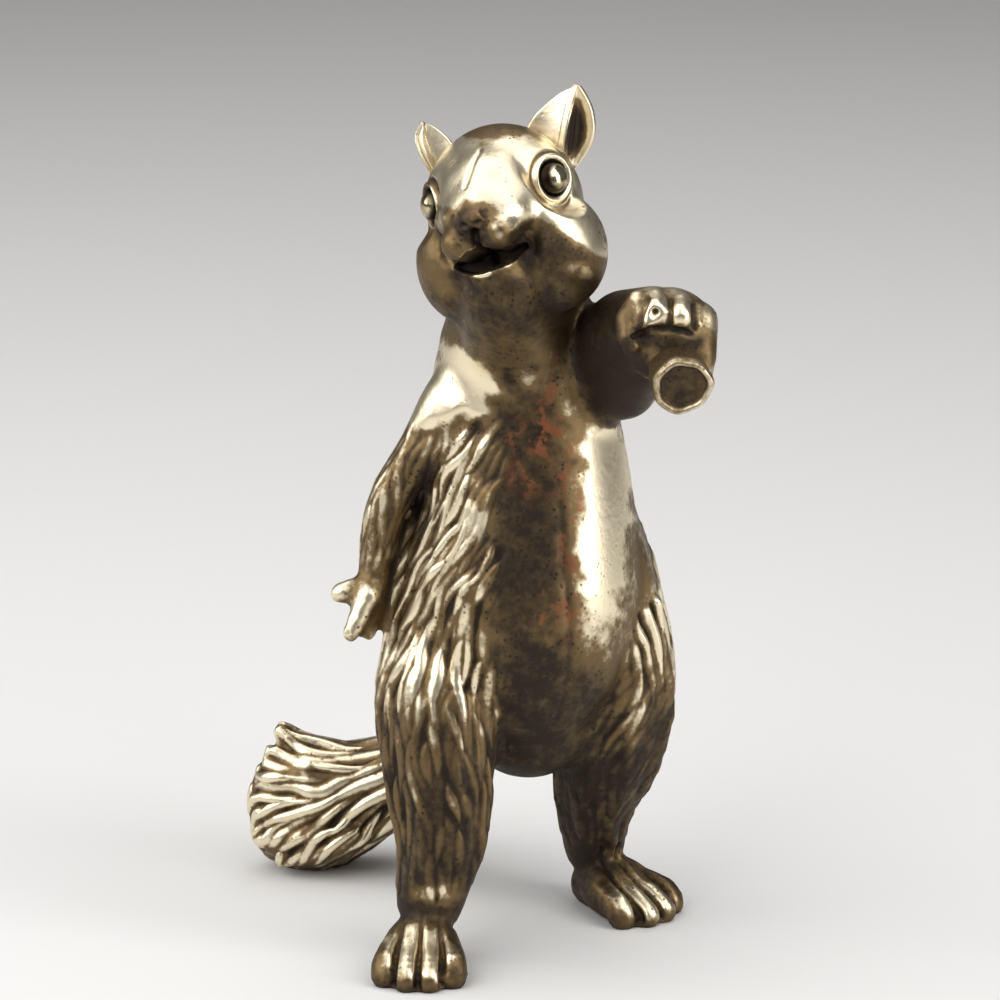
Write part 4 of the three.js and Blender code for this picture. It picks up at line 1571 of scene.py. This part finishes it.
@dataclass
class RaisedArm:
    """The left arm, raised, with a paw closed over the stub."""

    upper: tuple = ((5.3, 0.1, 35.8, 2.7), (7.5, -3.2, 36.9, 2.4), (8.4, -5.4, 39.2, 2.4))
    fore: tuple = ((5.8, 0.0, 37.2, 2.9), (7.9, -4.4, 40.1, 2.9), (9.3, -8.0, 41.5, 2.6))
    paw: tuple = (10.2, -10.5, 41.7)
    paw_radii: tuple = (2.9, 2.8, 2.95)
    digits: tuple = (
        (
            (8.35, -10.8, 43.9, 0.7),
            (7.55, -12.0, 43.1, 0.66),
            (7.6, -12.7, 42.2, 0.62),
            (7.9, -13.0, 41.6, 0.5),
        ),
        ((9.3, -11.2, 43.9, 0.9), (9.25, -12.6, 43.7, 0.85), (8.75, -13.0, 43.0, 0.55)),
        ((10.8, -11.2, 43.7, 0.9), (10.8, -12.8, 43.5, 0.8)),
        ((11.9, -10.8, 42.6, 1.3), (12.0, -12.2, 40.8, 1.05), (11.95, -12.9, 39.6, 0.8)),
    )
    pit: tuple = (9.3, -13.45, 43.85)
    pit_depth: float = 0.4
    crease_depth: float = 0.24
    creases: tuple = (
        ((8.4, 10.3), (9.5, 10.75), (10.6, 10.8), (12.0, 10.5)),
        ((9.3, 12.7), (8.9, 11.7), (8.7, 10.7)),
        ((10.75, 12.6), (10.65, 11.0)),
        ((12.2, 12.3), (12.3, 10.8)),
    )
    # Painted shade over the raised arm behind the paw, painted highlights on the knuckles, and painted
    # shade under them and in the pit of the middle knuckle.
    painted_light_and_stain_dabs: tuple = (
        Dab((6.6, 10.5), (2.4, 4.6), 0.75),
        Dab((8.0, 7.0), (1.8, 2.8), 0.75),
        Dab((11.9, 9.2), (2.0, 1.4), 0.3),
        Dab((8.1, 11.5), (0.6, 1.6), -0.4, -18.0),
        Dab((9.8, 11.8), (0.9, 0.9), -0.35),
        Dab((11.3, 11.6), (0.75, 0.75), -0.5),
        Dab((10.2, 10.0), (1.8, 0.6), 0.3, 3.0),
        Dab((9.8, 11.9), (0.25, 0.25), 0.7),
    )

    def press(self, clay: Clay) -> None:
        """Adds the arm, the closed paw and its digits.

        Args:
            clay: what the lumps are pressed into.
        """
        clay.bars((self.upper, self.fore))
        clay.egg(self.paw, self.paw_radii, Matrix())
        clay.bars(self.digits)

    def carve(self, points: Array, share: Array) -> Array:
        """Returns the depth of the pit in the middle knuckle and of the creases, at each point."""
        gap = np.linalg.norm(points - np.array(self.pit), axis=1)
        creased = self.crease_depth * self._creased(points, 0.16)
        return -(self.pit_depth * bell(gap, 0.0, 0.32) + creased) * share

    def _creased(self, points: Array, width: float) -> Array:
        """Returns 1 along the creases between the digits, falling off over the width."""
        view = seen(points)
        gaps = [gap_to(view, np.array(path))[0] for path in self.creases]
        return bell(np.min(gaps, axis=0), 0.0, width) * (points[:, 1] < -10.5)

    def stain(self, points: Array, share: Array, marks: Marks) -> None:
        """Darkens the creases with painted shade."""
        marks.patina += 0.5 * self._creased(points, 0.18) * share


@dataclass
class Stub:
    """The short round stub in the raised paw, with a rim round a shallow dish."""

    end: tuple = (10.97, -14.75, 39.53)
    axis: tuple = (0.136, -0.965, -0.225)
    radius: float = 1.85
    length: float = 6.4
    rim: float = 0.34
    dish: float = 0.35
    dish_dark: float = 0.8
    side_dark: float = 0.6
    rim_dark: float = 0.3

    def build(self, finish: bpy.types.Material) -> bpy.types.Object:
        """Turns the stub.

        Args:
            finish: the finish.

        Returns:
            The stub's piece.
        """
        bm = bmesh.new()
        profile = (
            (0.0, -self.length),
            (self.radius * 0.9, -self.length),
            (self.radius * 0.97, -self.length + 0.2),
            (self.radius * 0.95, -1.2),
            (self.radius, -0.55),
            (self.radius, -0.3),
            (self.radius - 0.1, -0.06),
            (self.radius - 0.22, 0.0),
            (self.radius - self.rim, -0.05),
            (self.radius - self.rim - 0.2, -self.dish),
            (self.radius * 0.4, -self.dish - 0.05),
            (0.0, -self.dish - 0.04),
        )
        verts = [bm.verts.new((x, 0.0, z)) for x, z in profile]
        edges = [bm.edges.new(pair) for pair in zip(verts[:-1], verts[1:])]
        bmesh.ops.spin(
            bm,
            geom=verts + edges,
            cent=(0.0, 0.0, 0.0),
            axis=UP,
            angle=math.tau,
            steps=64,
            use_merge=True,
        )
        bmesh.ops.remove_doubles(bm, verts=bm.verts, dist=1e-4)
        bmesh.ops.subdivide_edges(bm, edges=bm.edges, cuts=2, use_grid_fill=True, smooth=0.0)
        self._wear(bm)
        bmesh.ops.recalc_face_normals(bm, faces=bm.faces)
        turn = Vector(UP).rotation_difference(Vector(self.axis)).to_matrix().to_4x4()
        bmesh.ops.transform(bm, matrix=Matrix.Translation(self.end) @ turn, verts=bm.verts)
        return finished(bm, "held_stub_turned", ["held_stub"], finish)

    def _wear(self, bm: bmesh.types.BMesh) -> None:
        """Makes the stub a little uneven, as cast, and darkens its dish.

        Args:
            bm: the stub, which is changed.
        """
        layer = bm.verts.layers.float.new("patina")
        for vert in bm.verts:
            angle = math.atan2(vert.co.y, vert.co.x)
            reach = math.hypot(vert.co.x, vert.co.y)
            swell = 1.0 + 0.03 * math.sin(3.0 * angle + 0.8) + 0.02 * math.sin(7.0 * angle)
            vert.co.x *= swell
            vert.co.y *= swell
            dished = reach < self.radius - self.rim - 0.1 and vert.co.z > -1.0
            side = vert.co.z < -0.6
            outside = self.side_dark if side else self.rim_dark
            vert[layer] = self.dish_dark if dished else outside


@dataclass
class Leg:
    """A furry hind leg with a cuff over a smooth foot."""

    cast: Cast
    floor: tuple
    heading: float
    sweep: float
    seed: int
    painted_light_and_stain_dabs: tuple
    cuff: float = 4.7
    toe_gap: float = 1.4
    toe_start: float = 1.5
    toe_ramp: float = 2.2
    groove_depth: float = 0.5
    groove_half: float = 0.17
    foot_height: float = 4.5

    def press(self, clay: Clay) -> None:
        """Adds the leg."""
        clay.casting(self.cast.value)

    def course(self, place: Array, out: Array) -> Array:
        """Returns the way that the leg's fur runs: down, with a sweep."""
        sway = self.sweep * smoothstep(6.0, 13.0, place[2])
        return sway * np.cross(out, UP) - UP

    def flow(self, points: Array, share: Array, trunk: Trunk) -> Flow:
        """Lays the leg's fur, down to the cuff.

        Args:
            points: the points, in rows.
            share: how far each point belongs to the casting.
            trunk: the trunk, whose belly has no fur.

        Returns:
            How the fur lies.
        """
        high = points[:, 2]
        hem = self.cuff + 0.25 * np.sin(5.0 * points[:, 0]) + 0.2 * np.sin(4.1 * points[:, 1])
        turn = np.abs(trunk.turn(points))
        belly = smoothstep(-6.0, 6.0, turn + 4.0 * np.clip(17.0 - high, 0.0, 12.0) - 36.0)
        mask = share * smoothstep(-0.25, 0.25, high - hem) * belly
        return Flow(
            mask,
            self.course,
            apart=(2.5, 0.54),
            length=(3.0, 7.0),
            width=(0.75, 1.35),
            height=0.3,
            sunk=0.18,
            seed=self.seed,
        )

    def carve(self, points: Array, share: Array) -> Array:
        """Cuts the grooves between the toes.

        Args:
            points: the points, in rows.
            share: how far each point belongs to the casting.

        Returns:
            How far each point is moved outwards.
        """
        angle = math.radians(self.heading)
        ahead = np.array([math.sin(angle), -math.cos(angle), 0.0])
        across = np.cross(ahead, UP)
        start = np.array([*self.floor, 0.0])
        rise = np.zeros(len(points))
        chosen = np.flatnonzero((share > 0.3) & (points[:, 2] < self.foot_height))
        q = points[chosen] - start
        along, beside = q @ ahead, q @ across
        for place in (-1.0, 0.0, 1.0):
            lane = place * self.toe_gap * (0.75 + 0.06 * along)
            reach = smoothstep(self.toe_start, self.toe_start + self.toe_ramp, along)
            groove = self.groove_depth * bell(beside, lane, self.groove_half)
            rise[chosen] -= groove * reach * (q[:, 2] > 0.25)
        return rise * share


RIGHT_LEG = Leg(
    Cast.RIGHT_LEG,
    (-4.8, -6.0),
    -3.0,
    -0.15,
    11,
    (
        # Painted highlights on the cuff, the toes and down the leg.
        Dab((-3.9, -24.8), (1.8, 0.7), -0.52),
        Dab((-5.2, -28.5), (2.9, 1.9), -0.72),
        Dab((-5.8, -20.0), (0.9, 4.0), -0.15),
    ),
)
LEFT_LEG = Leg(
    Cast.LEFT_LEG,
    (6.1, 4.6),
    42.0,
    0.6,
    23,
    (
        # Painted highlights on the toes, the ankle and the thigh, and painted shade on the inner thigh.
        Dab((8.6, -25.1), (3.0, 1.6), -0.7, -15.0),
        Dab((7.5, -22.3), (0.9, 0.5), -0.55),
        Dab((4.8, -18.8), (1.5, 3.0), 0.2),
        Dab((8.6, -14.5), (0.8, 3.0), -0.2, 10.0),
    ),
    toe_start=0.8,
)


@dataclass
class Tail:
    """The bushy tail that lies on the floor, with an upturned lock at its end."""

    stations: tuple = (
        (1.0, 3.7, 13.8),
        (-2.2, 8.2, 10.4),
        (-5.4, 10.8, 7.0),
        (-8.8, 11.2, 5.3),
        (-12.4, 11.0, 4.2),
        (-16.4, 10.8, 3.2),
    )
    painted_light_and_stain_dabs: tuple = ()
    blend: float = 2.6
    fan_from: tuple = (-5.0, -12.0)

    def press(self, clay: Clay) -> None:
        """Adds the tail."""
        clay.casting(Cast.TAIL.value)

    def course(self, place: Array, out: Array) -> Array:
        """Leads the tail's fur.

        Args:
            place: a place on the skin.
            out: the outward direction there.

        Returns:
            The way that it runs: along the tail, fanning out at the end.
        """
        stations = np.array(self.stations)
        spans = np.diff(stations, axis=0)
        gap = np.linalg.norm(stations[:-1] + 0.5 * spans - place, axis=1)
        weight = np.exp(-((gap / self.blend) ** 2)) + TINY
        along = unit((unit(spans) * weight[:, None]).sum(axis=0))
        core = ((stations[:-1] + 0.5 * spans) * weight[:, None]).sum(axis=0) / weight.sum()
        spread = float(smoothstep(*self.fan_from, place[0]))
        fan = 0.30 * (place[2] - core[2] - 0.8) * spread
        wave = 0.45 * math.sin(0.7 * place[0] + 0.35 * place[2] + 0.6)
        return along + np.array([0.0, 0.0, fan - abs(wave) * 0.7 * (1.0 - 0.5 * spread)])

    def flow(self, points: Array, share: Array) -> Flow:
        """Lays the tail's long fur.

        Args:
            points: the points, in rows.
            share: how far each point belongs to the casting.

        Returns:
            How the fur lies.
        """
        return Flow(
            share,
            self.course,
            apart=(4.0, 0.64),
            length=(6.0, 11.0),
            width=(0.9, 1.5),
            height=0.52,
            sunk=0.3,
            seed=37,
        )


@dataclass(frozen=True)
class Tones:
    """How dark each point is before patches are laid on it: patina, with painted shade where the figure
    faces away from the view and where a surface faces down.

    Attributes:
        plain: everywhere.
        tail: added on the tail.
        back: painted shade, added where the figure faces away from the view.
        right_leg: added low on the right leg.
        left_leg: added low on the left leg.
        low: the heights between which the legs get lighter.
        hollow: added in hollows.
        hollows: rounds of smoothing, and the depth that counts as deep after them.
        furrow: added between strands.
        under: painted shade, added where a surface faces down.
        limit: the darkness over which more of it counts for less.
        past_limit: how much it counts there.
    """

    plain: float = 0.42
    tail: float = 0.1
    back: float = 0.14
    right_leg: float = 0.54
    left_leg: float = 0.62
    low: tuple = (11.0, 20.5)
    hollow: float = 0.5
    hollows: tuple = ((3, 0.03), (20, 0.12), (60, 0.3))
    furrow: float = 0.42
    under: float = 0.22
    limit: float = 0.8
    past_limit: float = 0.35

    def held(self, values: Array) -> Array:
        """Returns values from 0 up, drawn in softly over the limit."""
        over = self.limit + self.past_limit * (values - self.limit)
        return np.where(values > self.limit, over, np.maximum(values, 0.0))


@dataclass
class Figure:
    """The joined castings: one skin, smoothed, carved and cut into its pieces again."""

    voxel: float = 0.25
    border_rounds: int = 10
    share_rounds: int = 6
    reach_rounds: int = 4
    fair_rounds: int = 3
    seam_rounds: int = 40
    body_rounds: int = 10
    brow_rounds: int = 45
    face_rounds: int = 4
    fur_ease: float = 0.4
    thigh_blend: tuple = (13.5, 19.5)
    tones: Tones = Tones()
    trunk: Trunk = field(default_factory=Trunk)
    head: Head = field(default_factory=Head)
    right_arm: HangingArm = field(default_factory=HangingArm)
    left_arm: RaisedArm = field(default_factory=RaisedArm)
    right_leg: Leg = field(default_factory=lambda: RIGHT_LEG)
    left_leg: Leg = field(default_factory=lambda: LEFT_LEG)
    tail: Tail = field(default_factory=Tail)

    def build(self, finish: bpy.types.Material) -> list[bpy.types.Object]:
        """Makes the carved castings.

        Args:
            finish: the finish.

        Returns:
            Their pieces.
        """
        clay = Clay()
        for part in self._parts():
            part.press(clay)
        rough = Skin(clay.skin(self.voxel))
        LOG.info("joined skin: %d points", len(rough.points))
        labels = self._labels(rough)
        self._smooth(rough, labels)
        rough.mesh.attributes.new("casting", "INT", "FACE").data.foreach_set("value", labels)
        skin = self._refined(rough)
        LOG.info("carved skin: %d points", len(skin.points))
        stored = np.empty(len(skin.mesh.polygons), np.int32)
        skin.mesh.attributes["casting"].data.foreach_get("value", stored)
        shares = skin.eased(skin.shares(stored, len(Cast)), self.share_rounds)
        by_cast = dict(zip(Cast, shares.T))
        level = self._carve(skin, rough.tree(), by_cast)
        self._store(skin, level, by_cast)
        return self._pieces(skin.mesh, finish)

    def _parts(self) -> list[Any]:
        """Returns the sub-assemblies that make up the skin."""
        legs = [self.right_leg, self.left_leg]
        return [self.trunk, self.head, self.right_arm, self.left_arm, *legs, self.tail]

    def _labels(self, skin: Skin) -> Array:
        """Finds which casting each face lies on, with smooth borders.

        Args:
            skin: the skin.

        Returns:
            The number of the casting, for each face.
        """
        whole = bmesh.new()
        owner: list[int] = []
        for number, cast in enumerate(Cast):
            whole.from_mesh(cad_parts[cast.value].data)
            owner += [number] * (len(whole.faces) - len(owner))
        bmesh.ops.transform(whole, matrix=TO_FIGURE, verts=whole.verts)
        tree = BVHTree.FromBMesh(whole)
        whole.free()
        nearest = [owner[tree.find_nearest(Vector(p))[2]] for p in skin.points]
        shares = skin.eased(np.eye(len(Cast))[nearest], self.border_rounds)
        points, faces = skin.corners()
        count = len(skin.mesh.polygons)
        votes = [np.bincount(faces, shares[points, k], count) for k in range(len(Cast))]
        return np.stack(votes, axis=1).argmax(axis=1).astype(np.int32)

    def _smooth(self, skin: Skin, labels: Array) -> None:
        """Smooths the skin all over, and most on the brow and where castings meet.

        Args:
            skin: the skin, which is changed.
            labels: the number of the casting, for each face.
        """
        shares = skin.shares(labels, len(Cast))
        border = (shares.max(axis=1) < 0.99).astype(float)
        seam = np.clip(6.0 * skin.eased(border, self.seam_rounds, 0.9), 0.0, 1.0)
        by_cast = dict(zip(Cast, shares.T))
        head = skin.eased(by_cast[Cast.HEAD], self.reach_rounds)
        body = skin.eased(by_cast[Cast.TRUNK], self.reach_rounds)
        skin.fair(self.fair_rounds, 1.0)
        skin.points = skin.eased(skin.points, self.seam_rounds, 0.5 * seam)
        smooth = np.clip(body + 0.5 * head, 0.0, 1.0)
        skin.points = skin.eased(skin.points, self.body_rounds, 0.5 * smooth)
        brow = head * self.head.brow(skin.points)
        skin.points = skin.eased(skin.points, self.brow_rounds, 0.5 * brow)
        skin.write()

    def _refined(self, rough: Skin) -> Skin:
        """Gives the skin finer faces, finest on the face.

        Args:
            rough: the smoothed skin.

        Returns:
            The finer skin.
        """
        fine = evaluated(rough.mesh, "SUBSURF", levels=1, render_levels=1)
        marked = self.head.face(Skin(fine).points)
        bm = bmesh.new()
        bm.from_mesh(fine)
        edges = [edge for edge in bm.edges if all(marked[vert.index] for vert in edge.verts)]
        bmesh.ops.subdivide_edges(bm, edges=edges, cuts=1, use_grid_fill=True)
        bm.to_mesh(fine)
        bm.free()
        skin = Skin(fine)
        face = 0.5 * self.head.face(skin.points)
        skin.points = skin.eased(skin.points, self.face_rounds, face)
        return skin

    def _carve(self, skin: Skin, tree: BVHTree, shares: dict[Cast, Array]) -> Array:
        """Cuts the fur and the features.

        Args:
            skin: the skin, which is changed.
            tree: a search tree of the plain skin.
            shares: how far each point belongs to each casting.

        Returns:
            How high each point stands in its strand.
        """
        points = skin.points
        legs = {leg.cast: leg for leg in (self.right_leg, self.left_leg)}
        high = smoothstep(*self.thigh_blend, points[:, 2])
        thighs = shares[Cast.RIGHT_LEG] + shares[Cast.LEFT_LEG]
        flows = [
            self.trunk.flow(points, shares[Cast.TRUNK] + high * thighs),
            self.tail.flow(points, shares[Cast.TAIL]),
            self.right_arm.flow(points, shares[Cast.RIGHT_ARM]),
        ]
        for cast, leg in legs.items():
            flows.append(leg.flow(points, shares[cast] * (1.0 - high), self.trunk))
        fur = Fur(skin, tree)
        for flow in flows:
            LOG.info("strands: %d", fur.grow(flow))
        relief = skin.eased(fur.relief, 1, self.fur_ease)
        level = skin.eased(fur.level, 1, self.fur_ease)
        plain = self.trunk.carve(points, shares[Cast.TRUNK])
        plain += self.trunk.shoulder(points, shares[Cast.TRUNK] + shares[Cast.RIGHT_ARM])
        plain += self.left_arm.carve(points, shares[Cast.LEFT_ARM])
        for cast, leg in legs.items():
            plain = plain + leg.carve(points, shares[cast])
        skin.push(relief + plain)
        self.head.carve(skin, shares[Cast.HEAD])
        skin.points[:, 2] = np.maximum(skin.points[:, 2], 0.0)
        return level

    def _store(self, skin: Skin, level: Array, shares: dict[Cast, Array]) -> None:
        """Stores how dark each point is, from its patina and from painted shade and painted highlights,
        and where it is stained red.

        Args:
            skin: the carved skin.
            level: how high each point stands in its strand.
            shares: how far each point belongs to each casting.
        """
        tones = self.tones
        facing = skin.normals()
        soft = skin.points
        hollow = np.zeros(len(skin.points))
        for count, reach in tones.hollows:
            soft = skin.eased(soft, count, 0.5)
            depth = np.einsum("ij,ij->i", soft - skin.points, facing)
            hollow = hollow + np.clip(depth / reach, -0.7, 1.0) / len(tones.hollows)
        furrow = 1.15 * smoothstep(0.05, -0.45, level) - 0.72 * smoothstep(0.05, 0.45, level)
        # Painted shade where a surface faces down.
        under = smoothstep(0.1, -0.8, facing[:, 2])
        legs = shares[Cast.RIGHT_LEG] + shares[Cast.LEFT_LEG]
        low = 1.0 - smoothstep(*tones.low, skin.points[:, 2])
        # Painted shade where the figure faces away from the view.
        back = smoothstep(0.1, 0.7, facing[:, 1])
        base = tones.plain + tones.tail * shares[Cast.TAIL] + tones.back * back
        base += low * (tones.right_leg * shares[Cast.RIGHT_LEG] + tones.left_leg * shares[Cast.LEFT_LEG])
        furrow = furrow * (1.0 - 0.3 * legs * low - 0.65 * shares[Cast.RIGHT_ARM])
        patina = base + tones.hollow * hollow + tones.furrow * furrow + tones.under * under
        marks = Marks(patina, np.zeros(len(level)))
        view = seen(skin.points)
        sight = np.array([0.0, -math.cos(VIEW_RISE), math.sin(VIEW_RISE)])
        front = smoothstep(-0.1, 0.25, facing @ sight)
        # Painted highlights and painted shade, laid as seen from the front, with a few patina patches
        # and the red stains.
        for cast, part in zip(Cast, self._parts()):
            for dab in part.painted_light_and_stain_dabs:
                dab.lay(view, front * shares[cast], marks)
        self.trunk.stain(skin.points, shares[Cast.TRUNK], marks)
        self.head.stain(skin.points, shares[Cast.HEAD], marks)
        self.left_arm.stain(skin.points, shares[Cast.LEFT_ARM], marks)
        for name, values in (("patina", marks.patina), ("rust", marks.rust)):
            layer = skin.mesh.attributes.new(name, "FLOAT", "POINT")
            layer.data.foreach_set("value", tones.held(values).astype(np.float32))

    @staticmethod
    def _pieces(mesh: bpy.types.Mesh, finish: bpy.types.Material) -> list[bpy.types.Object]:
        """Cuts the carved skin into closed pieces, one a casting.

        Args:
            mesh: the carved skin.
            finish: the finish.

        Returns:
            The pieces.
        """
        whole = bmesh.new()
        whole.from_mesh(mesh)
        made = []
        for number, cast in enumerate(Cast):
            bm = whole.copy()
            layer = bm.faces.layers.int["casting"]
            other = [face for face in bm.faces if face[layer] != number]
            bmesh.ops.delete(bm, geom=other, context="FACES")
            rim = [edge for edge in bm.edges if edge.is_boundary]
            for edge in rim:
                edge.smooth = False
            bmesh.ops.holes_fill(bm, edges=rim, sides=0)
            made.append(finished(bm, f"{cast.value}_casting", [cast.value], finish))
        whole.free()
        return made


def smooth_object(
    bm: bmesh.types.BMesh, name: str, finish: bpy.types.Material
) -> bpy.types.Object:
    """Makes a smooth-shaded object in the scene.

    Args:
        bm: the shape, which is freed.
        name: the object's name.
        finish: its material.

    Returns:
        The object.
    """
    mesh = bpy.data.meshes.new(name)
    bm.to_mesh(mesh)
    bm.free()
    mesh.polygons.foreach_set("use_smooth", np.ones(len(mesh.polygons), bool))
    mesh.materials.clear()
    mesh.materials.append(finish)
    return added(bpy.data.objects.new(name, mesh))


def finished(
    bm: bmesh.types.BMesh,
    name: str,
    nodes: Sequence[str],
    finish: bpy.types.Material,
) -> bpy.types.Object:
    """Makes a piece of a bmesh in the figure's frame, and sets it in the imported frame.

    Args:
        bm: the shape, which is freed.
        name: the piece's name.
        nodes: the CAD nodes that it stands for.
        finish: its material.

    Returns:
        The piece.
    """
    bmesh.ops.transform(bm, matrix=TO_FRAME, verts=bm.verts)
    piece = smooth_object(bm, name, finish)
    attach(piece, "root")
    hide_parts(*nodes)
    LOG.info("%s: %d faces", name, len(piece.data.polygons))
    return piece


@dataclass(frozen=True)
class Softbox:
    """A soft rectangular light.

    Attributes:
        name: the light's name.
        place: its middle, in the figure's frame.
        size: its width and height.
        power: its power in watts.
    """

    name: str
    place: tuple[float, float, float]
    size: tuple[float, float]
    power: float


@dataclass
class Studio:
    """The floor, the lights and the camera.

    Attributes:
        aim: what the lights and the camera look at, in the figure's frame.
        half_picture: half the picture's width, in pixels.
        focal: the lens's focal length, in the same pixels.
        sensor: the sensor's width in millimetres.
        surround: the colour round the stage.
        floor_half: half the floor's width.
        curve_steps: strips in the curve from the floor up into the backdrop.
        curve_stride: length of each strip.
        backdrop: length of the last one.
        softboxes: the lights.
    """

    aim: tuple = (0.0, 0.0, VIEW_MIDDLE)
    half_picture: float = 500.0
    focal: float = 5565.0
    sensor: float = 36.0
    surround: tuple = (0.1, 0.1, 0.103, 1.0)
    floor_half: float = 600.0
    curve_steps: int = 10
    curve_stride: float = 60.0
    backdrop: float = 700.0
    softboxes: tuple = (
        Softbox("key", (-190.0, -170.0, 230.0), (310.0, 310.0), 0.76),
        Softbox("side", (-280.0, 30.0, 150.0), (160.0, 200.0), 0.3),
        Softbox("strip", (210.0, -90.0, 70.0), (80.0, 240.0), 0.26),
        Softbox("brow", (150.0, -120.0, 260.0), (220.0, 220.0), 0.42),
        Softbox("top", (-30.0, 70.0, 290.0), (340.0, 260.0), 0.46),
    )

    def build(self) -> None:
        """Sets up the scene round the figure."""
        self._floor()
        self._camera()
        self._world()
        for softbox in self.softboxes:
            self._hang(softbox)

    def _place(self, figure: Sequence[float]) -> Vector:
        """Returns a point of the figure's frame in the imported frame."""
        return TO_FRAME @ Vector(figure)

    def _floor(self) -> None:
        """Adds the floor, which curves up into a backdrop."""
        bm = bmesh.new()
        bmesh.ops.create_grid(bm, x_segments=1, y_segments=1, size=self.floor_half * MM)
        back = [edge for edge in bm.edges if all(v.co.y > 0 for v in edge.verts)]
        for turn in range(1, self.curve_steps + 1):
            angle = math.radians(90.0 * turn / self.curve_steps)
            stride = (self.curve_stride if turn < self.curve_steps else self.backdrop) * MM
            rise = Vector((0.0, math.cos(angle), math.sin(angle))) * stride
            grown = bmesh.ops.extrude_edge_only(bm, edges=back)["geom"]
            moved = [item for item in grown if isinstance(item, bmesh.types.BMVert)]
            bmesh.ops.translate(bm, verts=moved, vec=rise)
            back = [item for item in grown if isinstance(item, bmesh.types.BMEdge)]
        bmesh.ops.recalc_face_normals(bm, faces=bm.faces)
        floor = smooth_object(bm, "floor", PaleFloor().material())

    def _camera(self) -> None:
        """Adds the camera at the photograph's viewing angle."""
        data = bpy.data.cameras.new("camera")
        data.sensor_width = self.sensor
        data.lens = self.sensor * self.focal / (2.0 * self.half_picture)
        data.clip_start = 0.01
        camera = added(bpy.data.objects.new("camera", data))
        back = Vector((0.0, -math.cos(VIEW_RISE), math.sin(VIEW_RISE))) * VIEW_DISTANCE
        camera.location = self._place(Vector(self.aim) + back)
        camera.rotation_euler = Euler((math.radians(90.0) - VIEW_RISE, 0.0, 0.0))
        bpy.context.scene.camera = camera
        bpy.context.scene.view_settings.view_transform = "Standard"

    def _world(self) -> None:
        """Adds a plain grey surround."""
        world = bpy.data.worlds.new("surround")
        world.use_nodes = True
        world.node_tree.nodes["Background"].inputs["Color"].default_value = self.surround
        bpy.context.scene.world = world

    def _hang(self, softbox: Softbox) -> None:
        """Adds a light that looks at the figure.

        Args:
            softbox: the light's name, place, size and power.
        """
        data = bpy.data.lights.new(softbox.name, "AREA")
        data.shape = "RECTANGLE"
        data.size, data.size_y = (side * MM for side in softbox.size)
        data.energy = softbox.power
        light = added(bpy.data.objects.new(softbox.name, data))
        light.location = self._place(softbox.place)
        aim = self._place(self.aim) - light.location
        light.rotation_euler = aim.to_track_quat("-Z", "Y").to_euler()


def dress_nodes(finishes: dict[str, bpy.types.Material]) -> None:
    """Gives each CAD node its finish, by the last word of its name or else the casting's."""
    for name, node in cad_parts.items():
        node.data.materials.clear()
        node.data.materials.append(finishes.get(name.rsplit("_", 1)[-1], finishes["casting"]))


def main() -> None:
    """Builds and dresses every piece, and sets up the studio."""
    logging.basicConfig(level=logging.INFO, format="%(relativeCreated)6d %(message)s")
    brass = CastBrass().material()
    polished = PolishedBrass().material()
    dress_nodes({"casting": brass, "eye": polished, "dowel": RodBrass().material()})
    figure = Figure()
    figure.build(brass)
    for ear in EARS:
        ear.build(figure.head.pose, brass)
    for eye in (Eye(Side.RIGHT, "right_eye"), Eye(Side.LEFT, "left_eye")):
        eye.build(figure.head, polished)
    Stub().build(brass)
    Studio().build()


if __name__ == "__main__":
    main()
